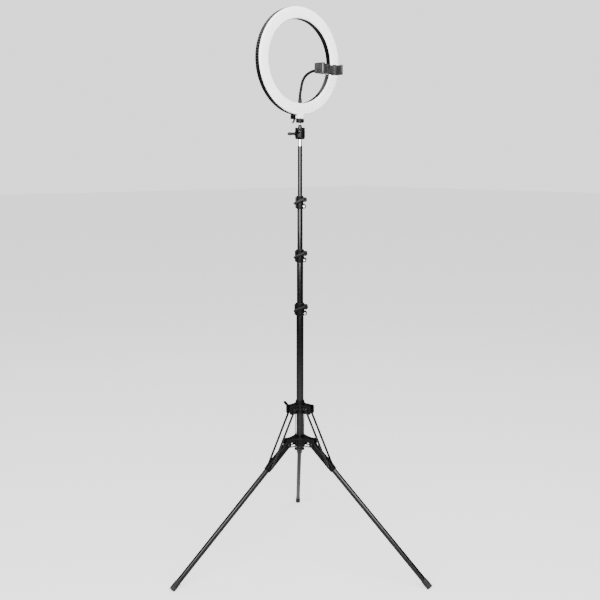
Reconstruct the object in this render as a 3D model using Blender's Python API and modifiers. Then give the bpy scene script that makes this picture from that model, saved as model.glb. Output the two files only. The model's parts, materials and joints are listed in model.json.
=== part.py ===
"""Ring light on a reverse-folding stand with a telescopic mast, a ball head and a phone holder.

Metres, +Z up. The lamp faces -Y. The floor is Z = 0 and the origin is the bottom centre of the whole
object's box, so the mast axis stands a little to one side of it.
"""

import math

import bmesh
import bpy

# Clearances
GAP = 0.0003
RUN = 0.0004
MERGE = 0.00001

# Legs: the azimuth of each, the hinge on the lower hub, and where the foot meets the floor
LEG_AZIMUTHS = (50, 170, 290)
LEG_HINGE_R = 0.044
LEG_HINGE_Z = 0.3718
FOOT_R = 0.430
FOOT_Z = 0.0034
LEG_WIDTH = 0.0130
LEG_DEPTH = 0.0140
LEG_CORNER = 0.0040
LEG_WALL = 0.0012
BRACKET_WIDTH = 0.0168
BRACKET_DEPTH = 0.0170
BRACKET_LENGTH = 0.1005
FOOT_LENGTH = 0.028
FOOT_WALL = 0.0012
FOOT_SOCKET = 0.016

# Braces: their hinge on the leg, and on the upper hub
BRACE_ON_LEG = 0.0829
BRACE_TOP_R = 0.0265
BRACE_TOP_Z = 0.481
BRACE_INNER = 0.0124
BRACE_BOSS_R = 0.0052
BRACE_THICKNESS = 0.0022
BRACE_HALF_WIDTH = 0.0034
BRACE_END = 0.0046

# Mast: outer radius, inner radius, bottom and top of each tube, and its clamp
TUBE_RADII = (0.0110, 0.0095, 0.0080, 0.0065)
TUBE_WALL = 0.0011
TUBE_LENGTH = 0.400
COLUMN_BOTTOM = 0.3550
CLAMP_TOPS = (0.804, 0.9635, 1.121)
MAST_TOP = 1.2634
CLAMP_HEIGHT = 0.038
CLAMP_WALL = 0.0025
CLAMP_SHOULDER = 0.0225
CLAMP_AZIMUTH = -41
CLAMP_FRONT = 0.0080
CLAMP_REACHES = (0.0236, 0.0217, 0.0203)
BOSS_HEIGHT = 0.013
SPINE_REACH = 0.0035
SPINE_WIDTH = 0.009
UPPER_BOSS = -0.011
LOWER_BOSS = -0.0305

# Hubs
LOWER_HUB_Z = (0.364, 0.390)
UPPER_HUB_Z = (0.466, 0.4935)
NECK_TOP = 0.505
EAR_INNER = 0.0088
EAR_THICKNESS = 0.0024
LUG_OUTER = 0.0120
LUG_THICKNESS = 0.0025
HUB_KNOB_AZIMUTH = 109
HUB_KNOB_Z = 0.4775

# Head
BALL_Z = 1.305
BALL_R = 0.0095
HOUSING_R = 0.0145
HOUSING_Z = (1.2835, 1.3163)
NECK_R = 0.0058
NECK_Z = (1.3200, 1.3250)
STEM_TOP = 1.3495
THREAD_R = 0.0031
LOCK_RING_Z = (1.3300, 1.3410)
LOCK_RING_R = 0.0118
NOTCH_AZIMUTH = 210
KNOB_AZIMUTH = 139
KNOB_Z = 1.299

# Lamp: the ring's centre, and its section as radius and distance in front of the mast axis
RING_Z = 1.502
RING_OUTER = 0.150
RING_INNER = 0.1164
RING_FRONT = 0.0055
RING_REAR = -0.0178
RING_SEAM = -0.0005
SHELL = 0.002
RING_STEPS = 48
FOOT_BACK = 0.0083
MOUNT_BACK = 0.0320

# Phone arm: its route as distance forward and height, and the way it points
ARM_AZIMUTH = -82
ARM_RADIUS = 0.0039
ARM_ROUTE = (
    (0.0000, 1.4010),
    (0.0001, 1.4060),
    (0.0012, 1.4140),
    (0.0042, 1.4265),
    (0.0072, 1.4390),
    (0.0123, 1.4500),
    (0.0205, 1.4595),
    (0.0310, 1.4660),
    (0.0430, 1.4702),
    (0.0560, 1.4724),
    (0.0680, 1.4733),
)
ARM_BENDS = (3, 6)
HOLDER_BALL = (0.0725, 1.4735)
HOLDER_BALL_R = 0.0055
HOLDER_BACK = 0.0890
HOLDER_BODY = 0.0160
HOLDER_DEPTH = 0.0330
HOLDER_HEIGHT = 0.0275
GRIP_HALF = 0.038
PAD_THICKNESS = 0.002
JAW_THICKNESS = 0.0045

# Colour, roughness and metallic value of each material
LOOKS = {
    "black_enamel": ((0.012, 0.012, 0.013), 0.30, 0.0),
    "black_plastic": ((0.010, 0.010, 0.011), 0.42, 0.0),
    "zinc_steel": ((0.72, 0.72, 0.73), 0.28, 1.0),
    "chrome": ((0.86, 0.86, 0.87), 0.08, 1.0),
    "milky_plastic": ((0.86, 0.86, 0.86), 0.35, 0.0),
    "board_white": ((0.80, 0.80, 0.77), 0.50, 0.0),
    "rubber": ((0.018, 0.018, 0.018), 0.80, 0.0),
    "grey_plastic": ((0.060, 0.060, 0.062), 0.34, 0.0),
}

for old in list(bpy.data.objects):
    bpy.data.objects.remove(old, do_unlink=True)

parts = bpy.data.collections.new("ring_light")
cutters = bpy.data.collections.new("cutters")
bpy.context.scene.collection.children.link(parts)
bpy.context.scene.collection.children.link(cutters)
cutters.hide_render = True


def make_material(name):
    colour, roughness, metallic = LOOKS[name]
    material = bpy.data.materials.new(name)
    material.use_nodes = True
    shader = material.node_tree.nodes["Principled BSDF"]
    shader.inputs["Base Color"].default_value = (*colour, 1.0)
    shader.inputs["Roughness"].default_value = roughness
    shader.inputs["Metallic"].default_value = metallic
    return material


MATERIALS = {name: make_material(name) for name in LOOKS}


def radians(angles):
    return [math.radians(angle) for angle in angles]


def pivot(name, parent, at=(0, 0, 0), turn=(0, 0, 0)):
    """An empty that holds the pieces of one moving body, on its joint."""
    empty = bpy.data.objects.new(name, None)
    empty.location = at
    empty.rotation_euler = radians(turn)
    empty.parent = parent
    empty.empty_display_size = 0.01
    parts.objects.link(empty)
    return empty


def place(name, mesh, look, parent, at, turn):
    """A piece, or a helper shape where look is None."""
    obj = bpy.data.objects.new(name, mesh)
    obj.location = at
    obj.rotation_euler = radians(turn)
    obj.parent = parent
    if look is None:
        obj.hide_render = True
        obj.display_type = "WIRE"
        cutters.objects.link(obj)
    else:
        mesh.materials.append(MATERIALS[look])
        parts.objects.link(obj)
        mesh.shade_smooth()
        mesh.set_sharp_from_angle(angle=math.radians(35))
    return obj


def turned(name, profile, look, parent, at=(0, 0, 0), turn=(0, 0, 0), steps=20, hollow=False):
    """A profile of (radius, height) points, down its outer side, turned about Z."""
    mesh = bpy.data.meshes.new(name)
    count = len(profile)
    edges = [(i, (i + 1) % count) for i in range(count if hollow else count - 1)]
    mesh.from_pydata([(radius, 0, height) for radius, height in profile], edges, [])
    obj = place(name, mesh, look, parent, at, turn)
    screw = obj.modifiers.new("turn", "SCREW")
    screw.steps = steps
    screw.render_steps = steps
    screw.use_merge_vertices = True
    screw.merge_threshold = MERGE
    screw.use_smooth_shade = True
    return obj


def rod(name, radius, low, high, look, parent, at=(0, 0, 0), turn=(0, 0, 0), steps=16):
    """A cylinder along Z from low to high."""
    mesh = bpy.data.meshes.new(name)
    shape = bmesh.new()
    bmesh.ops.create_cone(
        shape, cap_ends=True, segments=steps, radius1=radius, radius2=radius, depth=high - low
    )
    bmesh.ops.translate(shape, verts=shape.verts, vec=(0, 0, (high + low) / 2))
    shape.to_mesh(mesh)
    shape.free()
    return place(name, mesh, look, parent, at, turn)


def block(name, low, high, look, parent, at=(0, 0, 0), turn=(0, 0, 0), bevel=0.0):
    """A box between two corners, with rounded edges where bevel is given."""
    mesh = bpy.data.meshes.new(name)
    shape = bmesh.new()
    bmesh.ops.create_cube(shape, size=1.0)
    size = [b - a for a, b in zip(low, high)]
    bmesh.ops.scale(shape, verts=shape.verts, vec=size)
    bmesh.ops.translate(shape, verts=shape.verts, vec=[(a + b) / 2 for a, b in zip(low, high)])
    shape.to_mesh(mesh)
    shape.free()
    obj = place(name, mesh, look, parent, at, turn)
    if bevel:
        rounding = obj.modifiers.new("edges", "BEVEL")
        rounding.width = bevel
        rounding.segments = 2
    return obj


def as_mesh(name, curve):
    """The mesh of a curve, with its caps welded to its sides."""
    guide = bpy.data.objects.new(name + "_curve", curve)
    cutters.objects.link(guide)
    graph = bpy.context.evaluated_depsgraph_get()
    mesh = bpy.data.meshes.new_from_object(guide.evaluated_get(graph))
    mesh.name = name
    shape = bmesh.new()
    shape.from_mesh(mesh)
    bmesh.ops.remove_doubles(shape, verts=shape.verts, dist=MERGE)
    bmesh.ops.recalc_face_normals(shape, faces=shape.faces)
    shape.to_mesh(mesh)
    shape.free()
    mesh.materials.clear()
    bpy.data.objects.remove(guide, do_unlink=True)
    bpy.data.curves.remove(curve)
    return mesh


def plate(name, loops, depth, look, parent, at=(0, 0, 0), turn=(0, 0, 0)):
    """A flat outline, with any holes, that reaches half its depth each way along Z."""
    curve = bpy.data.curves.new(name, "CURVE")
    curve.dimensions = "2D"
    curve.fill_mode = "BOTH"
    curve.extrude = depth / 2
    for loop in loops:
        spline = curve.splines.new("POLY")
        spline.points.add(len(loop) - 1)
        for point, (x, y) in zip(spline.points, loop):
            point.co = (x, y, 0, 1)
        spline.use_cyclic_u = True
    return place(name, as_mesh(name, curve), look, parent, at, turn)


def tube(name, points, radii, look, parent, at=(0, 0, 0), turn=(0, 0, 0)):
    """A round bar along points, with a radius at each."""
    curve = bpy.data.curves.new(name, "CURVE")
    curve.dimensions = "3D"
    curve.bevel_depth = 1.0
    curve.bevel_resolution = 2
    curve.use_fill_caps = True
    spline = curve.splines.new("POLY")
    spline.points.add(len(points) - 1)
    for point, spot, radius in zip(spline.points, points, radii):
        point.co = (*spot, 1)
        point.radius = radius
    return place(name, as_mesh(name, curve), look, parent, at, turn)


def combine(obj, tool, operation):
    modifier = obj.modifiers.new(tool.name[:60], "BOOLEAN")
    modifier.operation = operation
    modifier.solver = "EXACT"
    modifier.object = tool


def join(obj, *tools):
    for tool in tools:
        combine(obj, tool, "UNION")


def cut(obj, *tools):
    for tool in tools:
        combine(obj, tool, "DIFFERENCE")


def arc(x, y, radius, start, end, steps):
    """Points on an arc, with its angles in degrees."""
    turns = [math.radians(start + (end - start) * i / steps) for i in range(steps + 1)]
    return [(x + radius * math.cos(t), y + radius * math.sin(t)) for t in turns]


def circle(x, y, radius, steps=10):
    return arc(x, y, radius, 0, 360, steps)[:-1]


def rounded(low, high, radius, steps=2):
    """The outline of a rectangle with round corners."""
    left, bottom = low
    right, top = high
    return (
        arc(right - radius, top - radius, radius, 0, 90, steps)
        + arc(left + radius, top - radius, radius, 90, 180, steps)
        + arc(left + radius, bottom + radius, radius, 180, 270, steps)
        + arc(right - radius, bottom + radius, radius, 270, 360, steps)
    )


def three_arm_web(tip, root, half_width, waist, steps=6):
    """The outline of a hub's web: three arms, straight from tip to root, with concave sides between them."""
    outline = []
    for azimuth in LEG_AZIMUTHS:
        arm = math.radians(azimuth)
        for side in (-1, 1):
            spread = side * math.atan2(half_width, tip)
            reach = math.hypot(tip, half_width)
            outline.append((reach * math.cos(arm + spread), reach * math.sin(arm + spread)))
        spread = math.atan2(half_width, root)
        reach = math.hypot(root, half_width)
        start = arm + spread
        end = arm + math.radians(120) - spread
        for i in range(steps + 1):
            share = i / steps
            radius = waist + (reach - waist) * (2 * share - 1) ** 2
            angle = start + (end - start) * share
            outline.append((radius * math.cos(angle), radius * math.sin(angle)))
    return outline


def column_offset():
    """Where the mast axis stands, so that the origin is the middle of the feet's box."""
    reach = FOOT_R + FOOT_WALL
    xs = [reach * math.cos(math.radians(a)) for a in LEG_AZIMUTHS]
    ys = [reach * math.sin(math.radians(a)) for a in LEG_AZIMUTHS]
    return -(max(xs) + min(xs)) / 2, -(max(ys) + min(ys)) / 2


def make_column(stand):
    outer = TUBE_RADII[0]
    inner = outer - TUBE_WALL
    top = CLAMP_TOPS[0] - CLAMP_SHOULDER - GAP
    profile = [(outer, top), (outer, COLUMN_BOTTOM), (inner, COLUMN_BOTTOM), (inner, top)]
    turned("column_tube", profile, "black_enamel", stand, hollow=True)
    plug = inner - GAP
    face = COLUMN_BOTTOM - GAP
    profile = [
        (0, face + 0.016),
        (plug - 0.001, face + 0.016),
        (plug, face + 0.015),
        (plug, face),
        (outer + 0.0006, face),
        (outer + 0.0006, face - 0.0015),
        (outer - 0.0004, face - 0.0025),
        (0, face - 0.0025),
    ]
    turned("column_end_plug", profile, "black_plastic", stand)


def hub_side(prefix, hub, azimuth, low_z, high_z, near, far, inner, thickness, hinge, hole, window):
    """The pair of upright plates that hold one arm's hinge, each with a window beside the column."""
    hinge_r, hinge_z = hinge
    for side in (1, -1):
        corner = 0.0045
        outline = rounded((near, low_z - hinge_z), (far, high_z - hinge_z), corner)
        loops = [outline, circle(hinge_r, 0, hole), rounded(*window, 0.0040, 1)]
        arm = math.radians(azimuth)
        lateral = side * (inner + thickness / 2)
        spot = (-lateral * math.sin(arm), lateral * math.cos(arm), hinge_z)
        tool = plate(f"{prefix}_{side}", loops, thickness, None, hub.parent, spot, (90, 0, azimuth))
        join(hub, tool)


def make_lower_hub(stand):
    low, high = LOWER_HUB_Z
    bore = TUBE_RADII[0] + GAP
    core = 0.0165
    profile = [(core, high), (core, low), (bore, low), (bore, high)]
    hub = turned("lower_hub", profile, "black_plastic", stand, steps=24, hollow=True)
    half = EAR_INNER + EAR_THICKNESS - 0.0002
    web_loops = [three_arm_web(0.0345, 0.0320, half, 0.0240), circle(0, 0, bore + 0.002, 20)]
    web = plate("lower_hub_web", web_loops, 0.0036, None, stand, (0, 0, high - 0.0022))
    join(hub, web)
    window = ((0.0196, -0.0050), (0.0375, 0.0060))
    for i, azimuth in enumerate(LEG_AZIMUTHS, 1):
        hub_side(
            f"ear_{i}", hub, azimuth, low - 0.0005, high - 0.0002, 0.0105, 0.0535,
            EAR_INNER, EAR_THICKNESS, (LEG_HINGE_R, LEG_HINGE_Z), 0.0029, window,
        )
    return hub


def make_upper_hub(carriage):
    low, high = UPPER_HUB_Z
    bore = TUBE_RADII[0] + RUN
    profile = [
        (0.0135, NECK_TOP),
        (0.0140, high - 0.002),
        (bore, high - 0.002),
        (bore, NECK_TOP),
    ]
    hub = turned("upper_hub", profile, "black_plastic", carriage, steps=24, hollow=True)
    web_loops = [three_arm_web(0.0355, 0.0285, LUG_OUTER - 0.0002, 0.0200), circle(0, 0, bore + 0.001, 20)]
    join(hub, plate("upper_hub_web", web_loops, 0.0034, None, carriage, (0, 0, high - 0.0019)))
    window = ((0.0125, -0.0110), (0.0215, 0.0035))
    for i, azimuth in enumerate(LEG_AZIMUTHS, 1):
        hub_side(
            f"lug_{i}", hub, azimuth, low + 0.0005, high - 0.0002, 0.0102, 0.0425,
            LUG_OUTER - LUG_THICKNESS, LUG_THICKNESS, (BRACE_TOP_R, BRACE_TOP_Z), 0.0025, window,
        )
    ring = [(0.0150, low + 0.004), (0.0150, low), (bore, low), (bore, low + 0.004)]
    join(hub, turned("upper_hub_ring", ring, None, carriage, steps=24, hollow=True))
    turn = (0, 90, HUB_KNOB_AZIMUTH)
    boss = rod("knob_boss", 0.0062, 0.0125, 0.0240, None, carriage, (0, 0, HUB_KNOB_Z), turn)
    join(hub, boss)
    cut(hub, rod("knob_bore", 0.0034, 0.0080, 0.0300, None, carriage, (0, 0, HUB_KNOB_Z), turn))
    return hub


def cross_pin(name, radius, half, look, parent, at, turn, head=0.0, head_depth=0.0):
    """A pin along Y through both sides, with a rivet head at each end where head is given."""
    if head:
        profile = [
            (0, half + head_depth),
            (head * 0.7, half + head_depth),
            (head, half),
            (radius, half),
            (radius, -half),
            (head, -half),
            (head * 0.7, -half - head_depth),
            (0, -half - head_depth),
        ]
    else:
        profile = [(0, half), (radius, half), (radius, -half), (0, -half)]
    return turned(name, profile, look, parent, at, turn, steps=12)


def make_hub_knob(carriage):
    azimuth = math.radians(HUB_KNOB_AZIMUTH)
    seat = 0.0245
    spot = (seat * math.cos(azimuth), seat * math.sin(azimuth), HUB_KNOB_Z)
    knob_axis = pivot("hub_knob_axis", carriage, spot, (0, 0, HUB_KNOB_AZIMUTH))
    profile = [
        (0, 0.0150),
        (0.0048, 0.0150),
        (0.0058, 0.0135),
        (0.0058, 0.0010),
        (0.0050, 0),
        (0.0029, 0),
        (0.0029, -0.0126),
        (0, -0.0126),
    ]
    knob = turned("hub_wing_knob", profile, "black_plastic", knob_axis, turn=(0, 90, 0), steps=16)
    outline = rounded((0, -0.006), (0.0262, 0.006), 0.0045)
    wing = plate("knob_wing", [outline], 0.0032, None, knob_axis, (0.0125, 0, -0.0020), (0, -42, 0))
    join(knob, wing)
    return knob


def make_leg(stand, index, azimuth, slope, length):
    frame = pivot(f"leg_frame_{index}", stand, turn=(0, 0, azimuth))
    hinge = (LEG_HINGE_R, 0, LEG_HINGE_Z)
    across = (90, 0, 0)
    ear_face = EAR_INNER + EAR_THICKNESS + GAP
    cross_pin(f"leg_pin_{index}", 0.0026, ear_face, "black_enamel", frame, hinge, across, 0.0046, 0.0014)
    leg = pivot(f"leg_fold_{index}", frame, hinge, (0, slope, 0))

    half_depth = BRACKET_DEPTH / 2
    outline = [
        *arc(0, 0, half_depth, 90, 270, 6),
        (BRACKET_LENGTH - 0.012, -half_depth),
        (BRACKET_LENGTH, -half_depth + 0.0010),
        (BRACKET_LENGTH, half_depth - 0.0010),
        (BRACKET_LENGTH - 0.012, half_depth),
    ]
    loops = [outline, circle(0, 0, 0.0030), circle(BRACE_ON_LEG, 0, 0.0027)]
    bracket = plate(f"leg_bracket_{index}", loops, BRACKET_WIDTH, "black_plastic", leg, turn=across)
    start = 0.0150
    room_half = (LEG_DEPTH / 2 + GAP, LEG_WIDTH / 2 + GAP)
    across_leg = (BRACE_ON_LEG, 0, 0)
    boss_half = BRACE_INNER - GAP
    boss = rod(f"brace_boss_{index}", BRACE_BOSS_R, -boss_half, boss_half, None, leg, across_leg, across)
    join(bracket, boss)
    bore = rod(f"brace_bore_{index}", 0.0027, -0.016, 0.016, None, leg, across_leg, across)
    room = block(
        f"bracket_room_{index}",
        (start - GAP, -room_half[1], -room_half[0]),
        (BRACKET_LENGTH + 0.010, room_half[1], room_half[0]),
        None,
        leg,
    )
    cut(bracket, room, bore)

    shank = length - FOOT_LENGTH + FOOT_SOCKET - GAP - start
    outer = rounded((-LEG_DEPTH / 2, -LEG_WIDTH / 2), (LEG_DEPTH / 2, LEG_WIDTH / 2), LEG_CORNER)
    wall = LEG_WALL
    inner = rounded(
        (-LEG_DEPTH / 2 + wall, -LEG_WIDTH / 2 + wall),
        (LEG_DEPTH / 2 - wall, LEG_WIDTH / 2 - wall),
        LEG_CORNER - wall,
    )
    middle = (start + shank / 2, 0, 0)
    leg_tube = plate(f"leg_tube_{index}", [outer, inner], shank, "black_enamel", leg, middle, (0, 90, 0))
    pin_hole = rod(f"pin_hole_{index}", 0.0027, -0.012, 0.012, None, leg, across_leg, across)
    cut(leg_tube, pin_hole)

    foot_outer = rounded(
        (-LEG_DEPTH / 2 - FOOT_WALL, -LEG_WIDTH / 2 - FOOT_WALL),
        (LEG_DEPTH / 2 + FOOT_WALL, LEG_WIDTH / 2 + FOOT_WALL),
        LEG_CORNER + 0.001,
    )
    middle = (length - FOOT_LENGTH / 2, 0, 0)
    foot = plate(f"leg_foot_{index}", [foot_outer], FOOT_LENGTH, "rubber", leg, middle, (0, 90, 0))
    socket_outline = rounded(
        (-LEG_DEPTH / 2 - GAP, -LEG_WIDTH / 2 - GAP),
        (LEG_DEPTH / 2 + GAP, LEG_WIDTH / 2 + GAP),
        LEG_CORNER,
    )
    middle = (length - FOOT_LENGTH, 0, 0)
    socket = plate(
        f"foot_socket_{index}", [socket_outline], 2 * FOOT_SOCKET, None, leg, middle, (0, 90, 0)
    )
    floor = block(f"floor_{index}", (-0.6, -0.6, -0.1), (0.6, 0.6, 0), None, stand)
    cut(foot, socket, floor)

    brace_face = BRACE_INNER + BRACE_THICKNESS + GAP
    cross_pin(
        f"brace_pin_{index}", 0.0022, brace_face, "black_enamel", leg, across_leg, across, 0.0040, 0.0012
    )
    return leg


def make_braces(carriage, leg, index, azimuth, slope):
    top_pin_turn = (90, 0, azimuth)
    arm = math.radians(azimuth)
    top = (BRACE_TOP_R * math.cos(arm), BRACE_TOP_R * math.sin(arm), BRACE_TOP_Z)
    cross_pin(
        f"brace_top_pin_{index}", 0.0022, LUG_OUTER - 0.0001, "black_enamel", carriage, top, top_pin_turn
    )
    tilt = math.radians(slope)
    foot_r = LEG_HINGE_R + BRACE_ON_LEG * math.cos(tilt)
    foot_z = LEG_HINGE_Z - BRACE_ON_LEG * math.sin(tilt)
    length = math.hypot(BRACE_TOP_R - foot_r, BRACE_TOP_Z - foot_z)
    rise = math.degrees(math.atan2(BRACE_TOP_Z - foot_z, BRACE_TOP_R - foot_r))
    brace = pivot(f"brace_fold_{index}", leg, (BRACE_ON_LEG, 0, 0), (0, -rise - slope, 0))
    flare = math.degrees(math.asin(BRACE_HALF_WIDTH / BRACE_END))
    outline = arc(0, 0, BRACE_END, flare, 360 - flare, 6)
    outline += arc(length, 0, BRACE_END, 180 + flare, 540 - flare, 6)
    loops = [outline, circle(0, 0, 0.0027)]
    for side, word in ((1, "left"), (-1, "right")):
        spot = (0, side * (BRACE_INNER + BRACE_THICKNESS / 2), 0)
        plate(
            f"brace_{index}_{word}", loops, BRACE_THICKNESS, "black_enamel", brace, spot, (90, 0, 0)
        )


def make_clamp(body, index):
    """One clamp: a split collar with two bosses, its bolt, and the lever that closes it."""
    lower = TUBE_RADII[index - 1]
    upper = TUBE_RADII[index]
    reach = CLAMP_REACHES[index - 1]
    outer = lower + CLAMP_WALL
    seat = pivot(f"clamp_seat_{index}", body, (0, 0, CLAMP_TOPS[index - 1]), (0, 0, CLAMP_AZIMUTH))
    edge = 0.0012
    profile = [
        (0, 0),
        (outer - edge, 0),
        (outer, -edge),
        (outer, -CLAMP_HEIGHT + edge),
        (outer - edge, -CLAMP_HEIGHT),
        (0, -CLAMP_HEIGHT),
    ]
    collar = turned(f"clamp_collar_{index}", profile, "black_plastic", seat, steps=24)
    across = (90, 0, 0)
    bolt_x = lower + 0.0032
    lever_x = reach - 0.0062
    half = BOSS_HEIGHT / 2
    outline = rounded((0, UPPER_BOSS - half), (reach, UPPER_BOSS + half), 0.0045)
    join(collar, plate(f"upper_boss_{index}", [outline], 2 * CLAMP_FRONT, None, seat, turn=across))
    outline = rounded((0, LOWER_BOSS - half), (bolt_x + half, LOWER_BOSS + half), 0.0060, 3)
    join(collar, plate(f"lower_boss_{index}", [outline], 2 * CLAMP_FRONT, None, seat, turn=across))
    outline = rounded((-outer - SPINE_REACH, -CLAMP_HEIGHT + 0.002), (-lower, -0.003), 0.0030)
    join(collar, plate(f"spine_{index}", [outline], SPINE_WIDTH, None, seat, turn=across))
    tube_room = rod(f"boss_room_{index}", lower + GAP, -0.060, -CLAMP_SHOULDER, None, seat, steps=20)
    mast_room = rod(f"mast_room_{index}", upper + RUN, -0.060, 0.020, None, seat, steps=20)
    slit = block(f"slit_{index}", (0, -0.0012, -0.060), (0.040, 0.0012, 0.020), None, seat)
    bolt_hole = rod(
        f"bolt_hole_{index}", 0.0018, -0.02, 0.02, None, seat, (bolt_x, 0, LOWER_BOSS), across, 12
    )
    axle_hole = rod(
        f"axle_hole_{index}", 0.0025, -0.02, 0.02, None, seat, (lever_x, 0, UPPER_BOSS), across, 12
    )
    cut(collar, tube_room, mast_room, slit, bolt_hole, axle_hole)

    head_r = 0.0033
    front = CLAMP_FRONT + GAP
    profile = [
        (0, front + 0.0020),
        (head_r * 0.8, front + 0.0020),
        (head_r, front + 0.0012),
        (head_r, front),
        (0.0014, front),
        (0.0014, -front - 0.0015),
        (0, -front - 0.0015),
    ]
    turned(
        f"clamp_bolt_{index}", profile, "zinc_steel", seat, (bolt_x, 0, LOWER_BOSS), across, steps=16
    )

    axle = pivot(f"clamp_lever_axis_{index}", seat, (lever_x, 0, UPPER_BOSS))
    arm_back = outer + 0.0006
    arm_front = arm_back + 0.0045
    disc = 0.0066
    profile = [
        (0, arm_front),
        (disc - 0.0010, arm_front),
        (disc, arm_front - 0.0010),
        (disc, front + 0.0002),
        (0.0021, front + 0.0002),
        (0.0021, -CLAMP_FRONT),
        (0, -CLAMP_FRONT),
    ]
    lever = turned(f"clamp_lever_{index}", profile, "black_plastic", axle, turn=across, steps=20)
    root = (-0.0010, 0.0020)
    tip = (-0.0190 - lever_x, -0.0125)
    angle = math.degrees(math.atan2(tip[1] - root[1], tip[0] - root[0]))
    span = math.hypot(tip[0] - root[0], tip[1] - root[1])
    outline = [(-0.002, -0.0046), (span * 0.75, -0.0048)]
    outline += arc(span - 0.0036, -0.0004, 0.0036, -60, 90, 5)
    outline += [(span * 0.55, 0.0044), (-0.002, 0.0036)]
    depth = arm_front - arm_back
    spot = (root[0], -(arm_front + arm_back) / 2, root[1])
    arm = plate(f"lever_arm_{index}", [outline], depth - 0.0004, None, axle, spot, (90, -angle, 0))
    join(lever, arm)


def make_mast_tube(body, index):
    outer = TUBE_RADII[index]
    inner = outer - TUBE_WALL
    top = MAST_TOP if index == 3 else CLAMP_TOPS[index] - CLAMP_SHOULDER - GAP
    low = top - TUBE_LENGTH
    profile = [(outer, top), (outer, low), (inner, low), (inner, top)]
    turned(f"mast_tube_{index}", profile, "black_enamel", body, hollow=True)


def make_mast_stud(body):
    plug = TUBE_RADII[3] - TUBE_WALL - GAP
    base = MAST_TOP + GAP
    bottom, _ = HOUSING_Z
    profile = [
        (0, bottom + 0.0070),
        (THREAD_R - 0.0005, bottom + 0.0070),
        (THREAD_R, bottom + 0.0064),
        (THREAD_R, bottom - GAP),
        (0.0048, bottom - GAP),
        (0.0050, bottom - 0.0010),
        (0.0050, base + 0.0030),
        (0.0064, base + 0.0022),
        (0.0064, base),
        (plug, base),
        (plug, base - 0.026),
        (0, base - 0.026),
    ]
    turned("mast_stud", profile, "chrome", body, steps=16)


def make_head(mast_head):
    bottom, top = HOUSING_Z
    head = pivot("head_pan", mast_head, (0, 0, BALL_Z))
    low = bottom - BALL_Z
    high = top - BALL_Z
    cup = BALL_R + RUN
    outer = HOUSING_R
    socket = THREAD_R + RUN
    cup_points = arc(0, 0, cup, 35, -80, 6)
    profile = [
        (outer - 0.0012, high),
        (outer, high - 0.0012),
        (outer, low + 0.0040),
        (outer - 0.0015, low + 0.0010),
        (outer - 0.0030, low),
        (socket, low),
        (socket, low + 0.0078),
        (0, low + 0.0078),
    ]
    housing = turned("ball_housing", [(0, high), *profile], "black_plastic", head, steps=24)
    cavity = [
        (0, high + 0.001),
        (0.0132, high + 0.001),
        (0.0128, high),
        *[point for point in cup_points if point[0] > 0.0005],
        (0, -cup),
    ]
    cut(housing, turned("ball_cavity", cavity, None, head, steps=20))
    notch_turn = (0, 90, NOTCH_AZIMUTH)
    notch_half = NECK_R + GAP
    cut(housing, rod("notch_round", notch_half, 0.002, 0.030, None, head, turn=notch_turn))
    notch = block(
        "notch_slot",
        (0.002, -notch_half + 0.00005, 0),
        (0.030, notch_half - 0.00005, 0.030),
        None,
        head,
        turn=(0, 0, NOTCH_AZIMUTH),
    )
    cut(housing, notch)
    height = KNOB_Z - BALL_Z
    knob_turn = (0, 90, KNOB_AZIMUTH)
    join(housing, rod("lock_boss", 0.0052, 0.0118, 0.0170, None, head, (0, 0, height), knob_turn))
    cut(housing, rod("lock_bore", 0.0028, 0.0110, 0.0200, None, head, (0, 0, height), knob_turn))

    azimuth = math.radians(KNOB_AZIMUTH)
    seat = 0.0174
    spot = (seat * math.cos(azimuth), seat * math.sin(azimuth), height)
    axis = pivot("ball_knob_axis", head, spot, (0, 0, KNOB_AZIMUTH))
    profile = [
        (0, 0.0085),
        (0.0026, 0.0085),
        (0.0036, 0.0070),
        (0.0040, 0.0005),
        (0.0036, 0),
        (0.0024, 0),
        (0.0024, -0.0046),
        (0, -0.0046),
    ]
    knob = turned("ball_lock_knob", profile, "black_plastic", axis, turn=(0, 90, 0), steps=16)
    leaf = [(0.0010, 0.0024), (0.0060, 0.0036), (0.0110, 0.0050)]
    leaf += [(0.0150, 0.0046), (0.0178, 0.0034), (0.0190, 0.0014)]
    outline = [(reach, -half) for reach, half in leaf] + [(reach, half) for reach, half in reversed(leaf)]
    join(knob, plate("knob_paddle", [outline], 0.0040, None, axis, turn=(90, 0, 0)))
    return head


def make_ball(head):
    tilt = pivot("ball_tilt", head, turn=(0, 0, NOTCH_AZIMUTH))
    join_angle = math.degrees(math.acos(NECK_R / BALL_R))
    profile = [
        (0, STEM_TOP - BALL_Z),
        (THREAD_R - 0.0005, STEM_TOP - BALL_Z),
        (THREAD_R, STEM_TOP - BALL_Z - 0.0006),
        (THREAD_R, NECK_Z[1] - BALL_Z),
        (THREAD_R + 0.0005, NECK_Z[1] - BALL_Z),
        (NECK_R, NECK_Z[0] - BALL_Z),
        *arc(0, 0, BALL_R, join_angle, -75, 7),
        (0, -BALL_R),
    ]
    turned("ball_stem", profile, "black_enamel", tilt, turn=(0, 0, -NOTCH_AZIMUTH), steps=16)
    low, high = LOCK_RING_Z
    bore = THREAD_R + RUN
    lock = pivot("lock_ring_axis", tilt, (0, 0, low - BALL_Z), (0, 0, -NOTCH_AZIMUTH))
    tall = high - low
    profile = [
        (LOCK_RING_R - 0.0010, tall),
        (LOCK_RING_R, tall - 0.0010),
        (LOCK_RING_R, 0.0015),
        (LOCK_RING_R - 0.0015, 0),
        (bore, 0),
        (bore, tall),
    ]
    turned("lock_ring", profile, "black_plastic", lock, steps=24, hollow=True)
    return tilt


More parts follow.
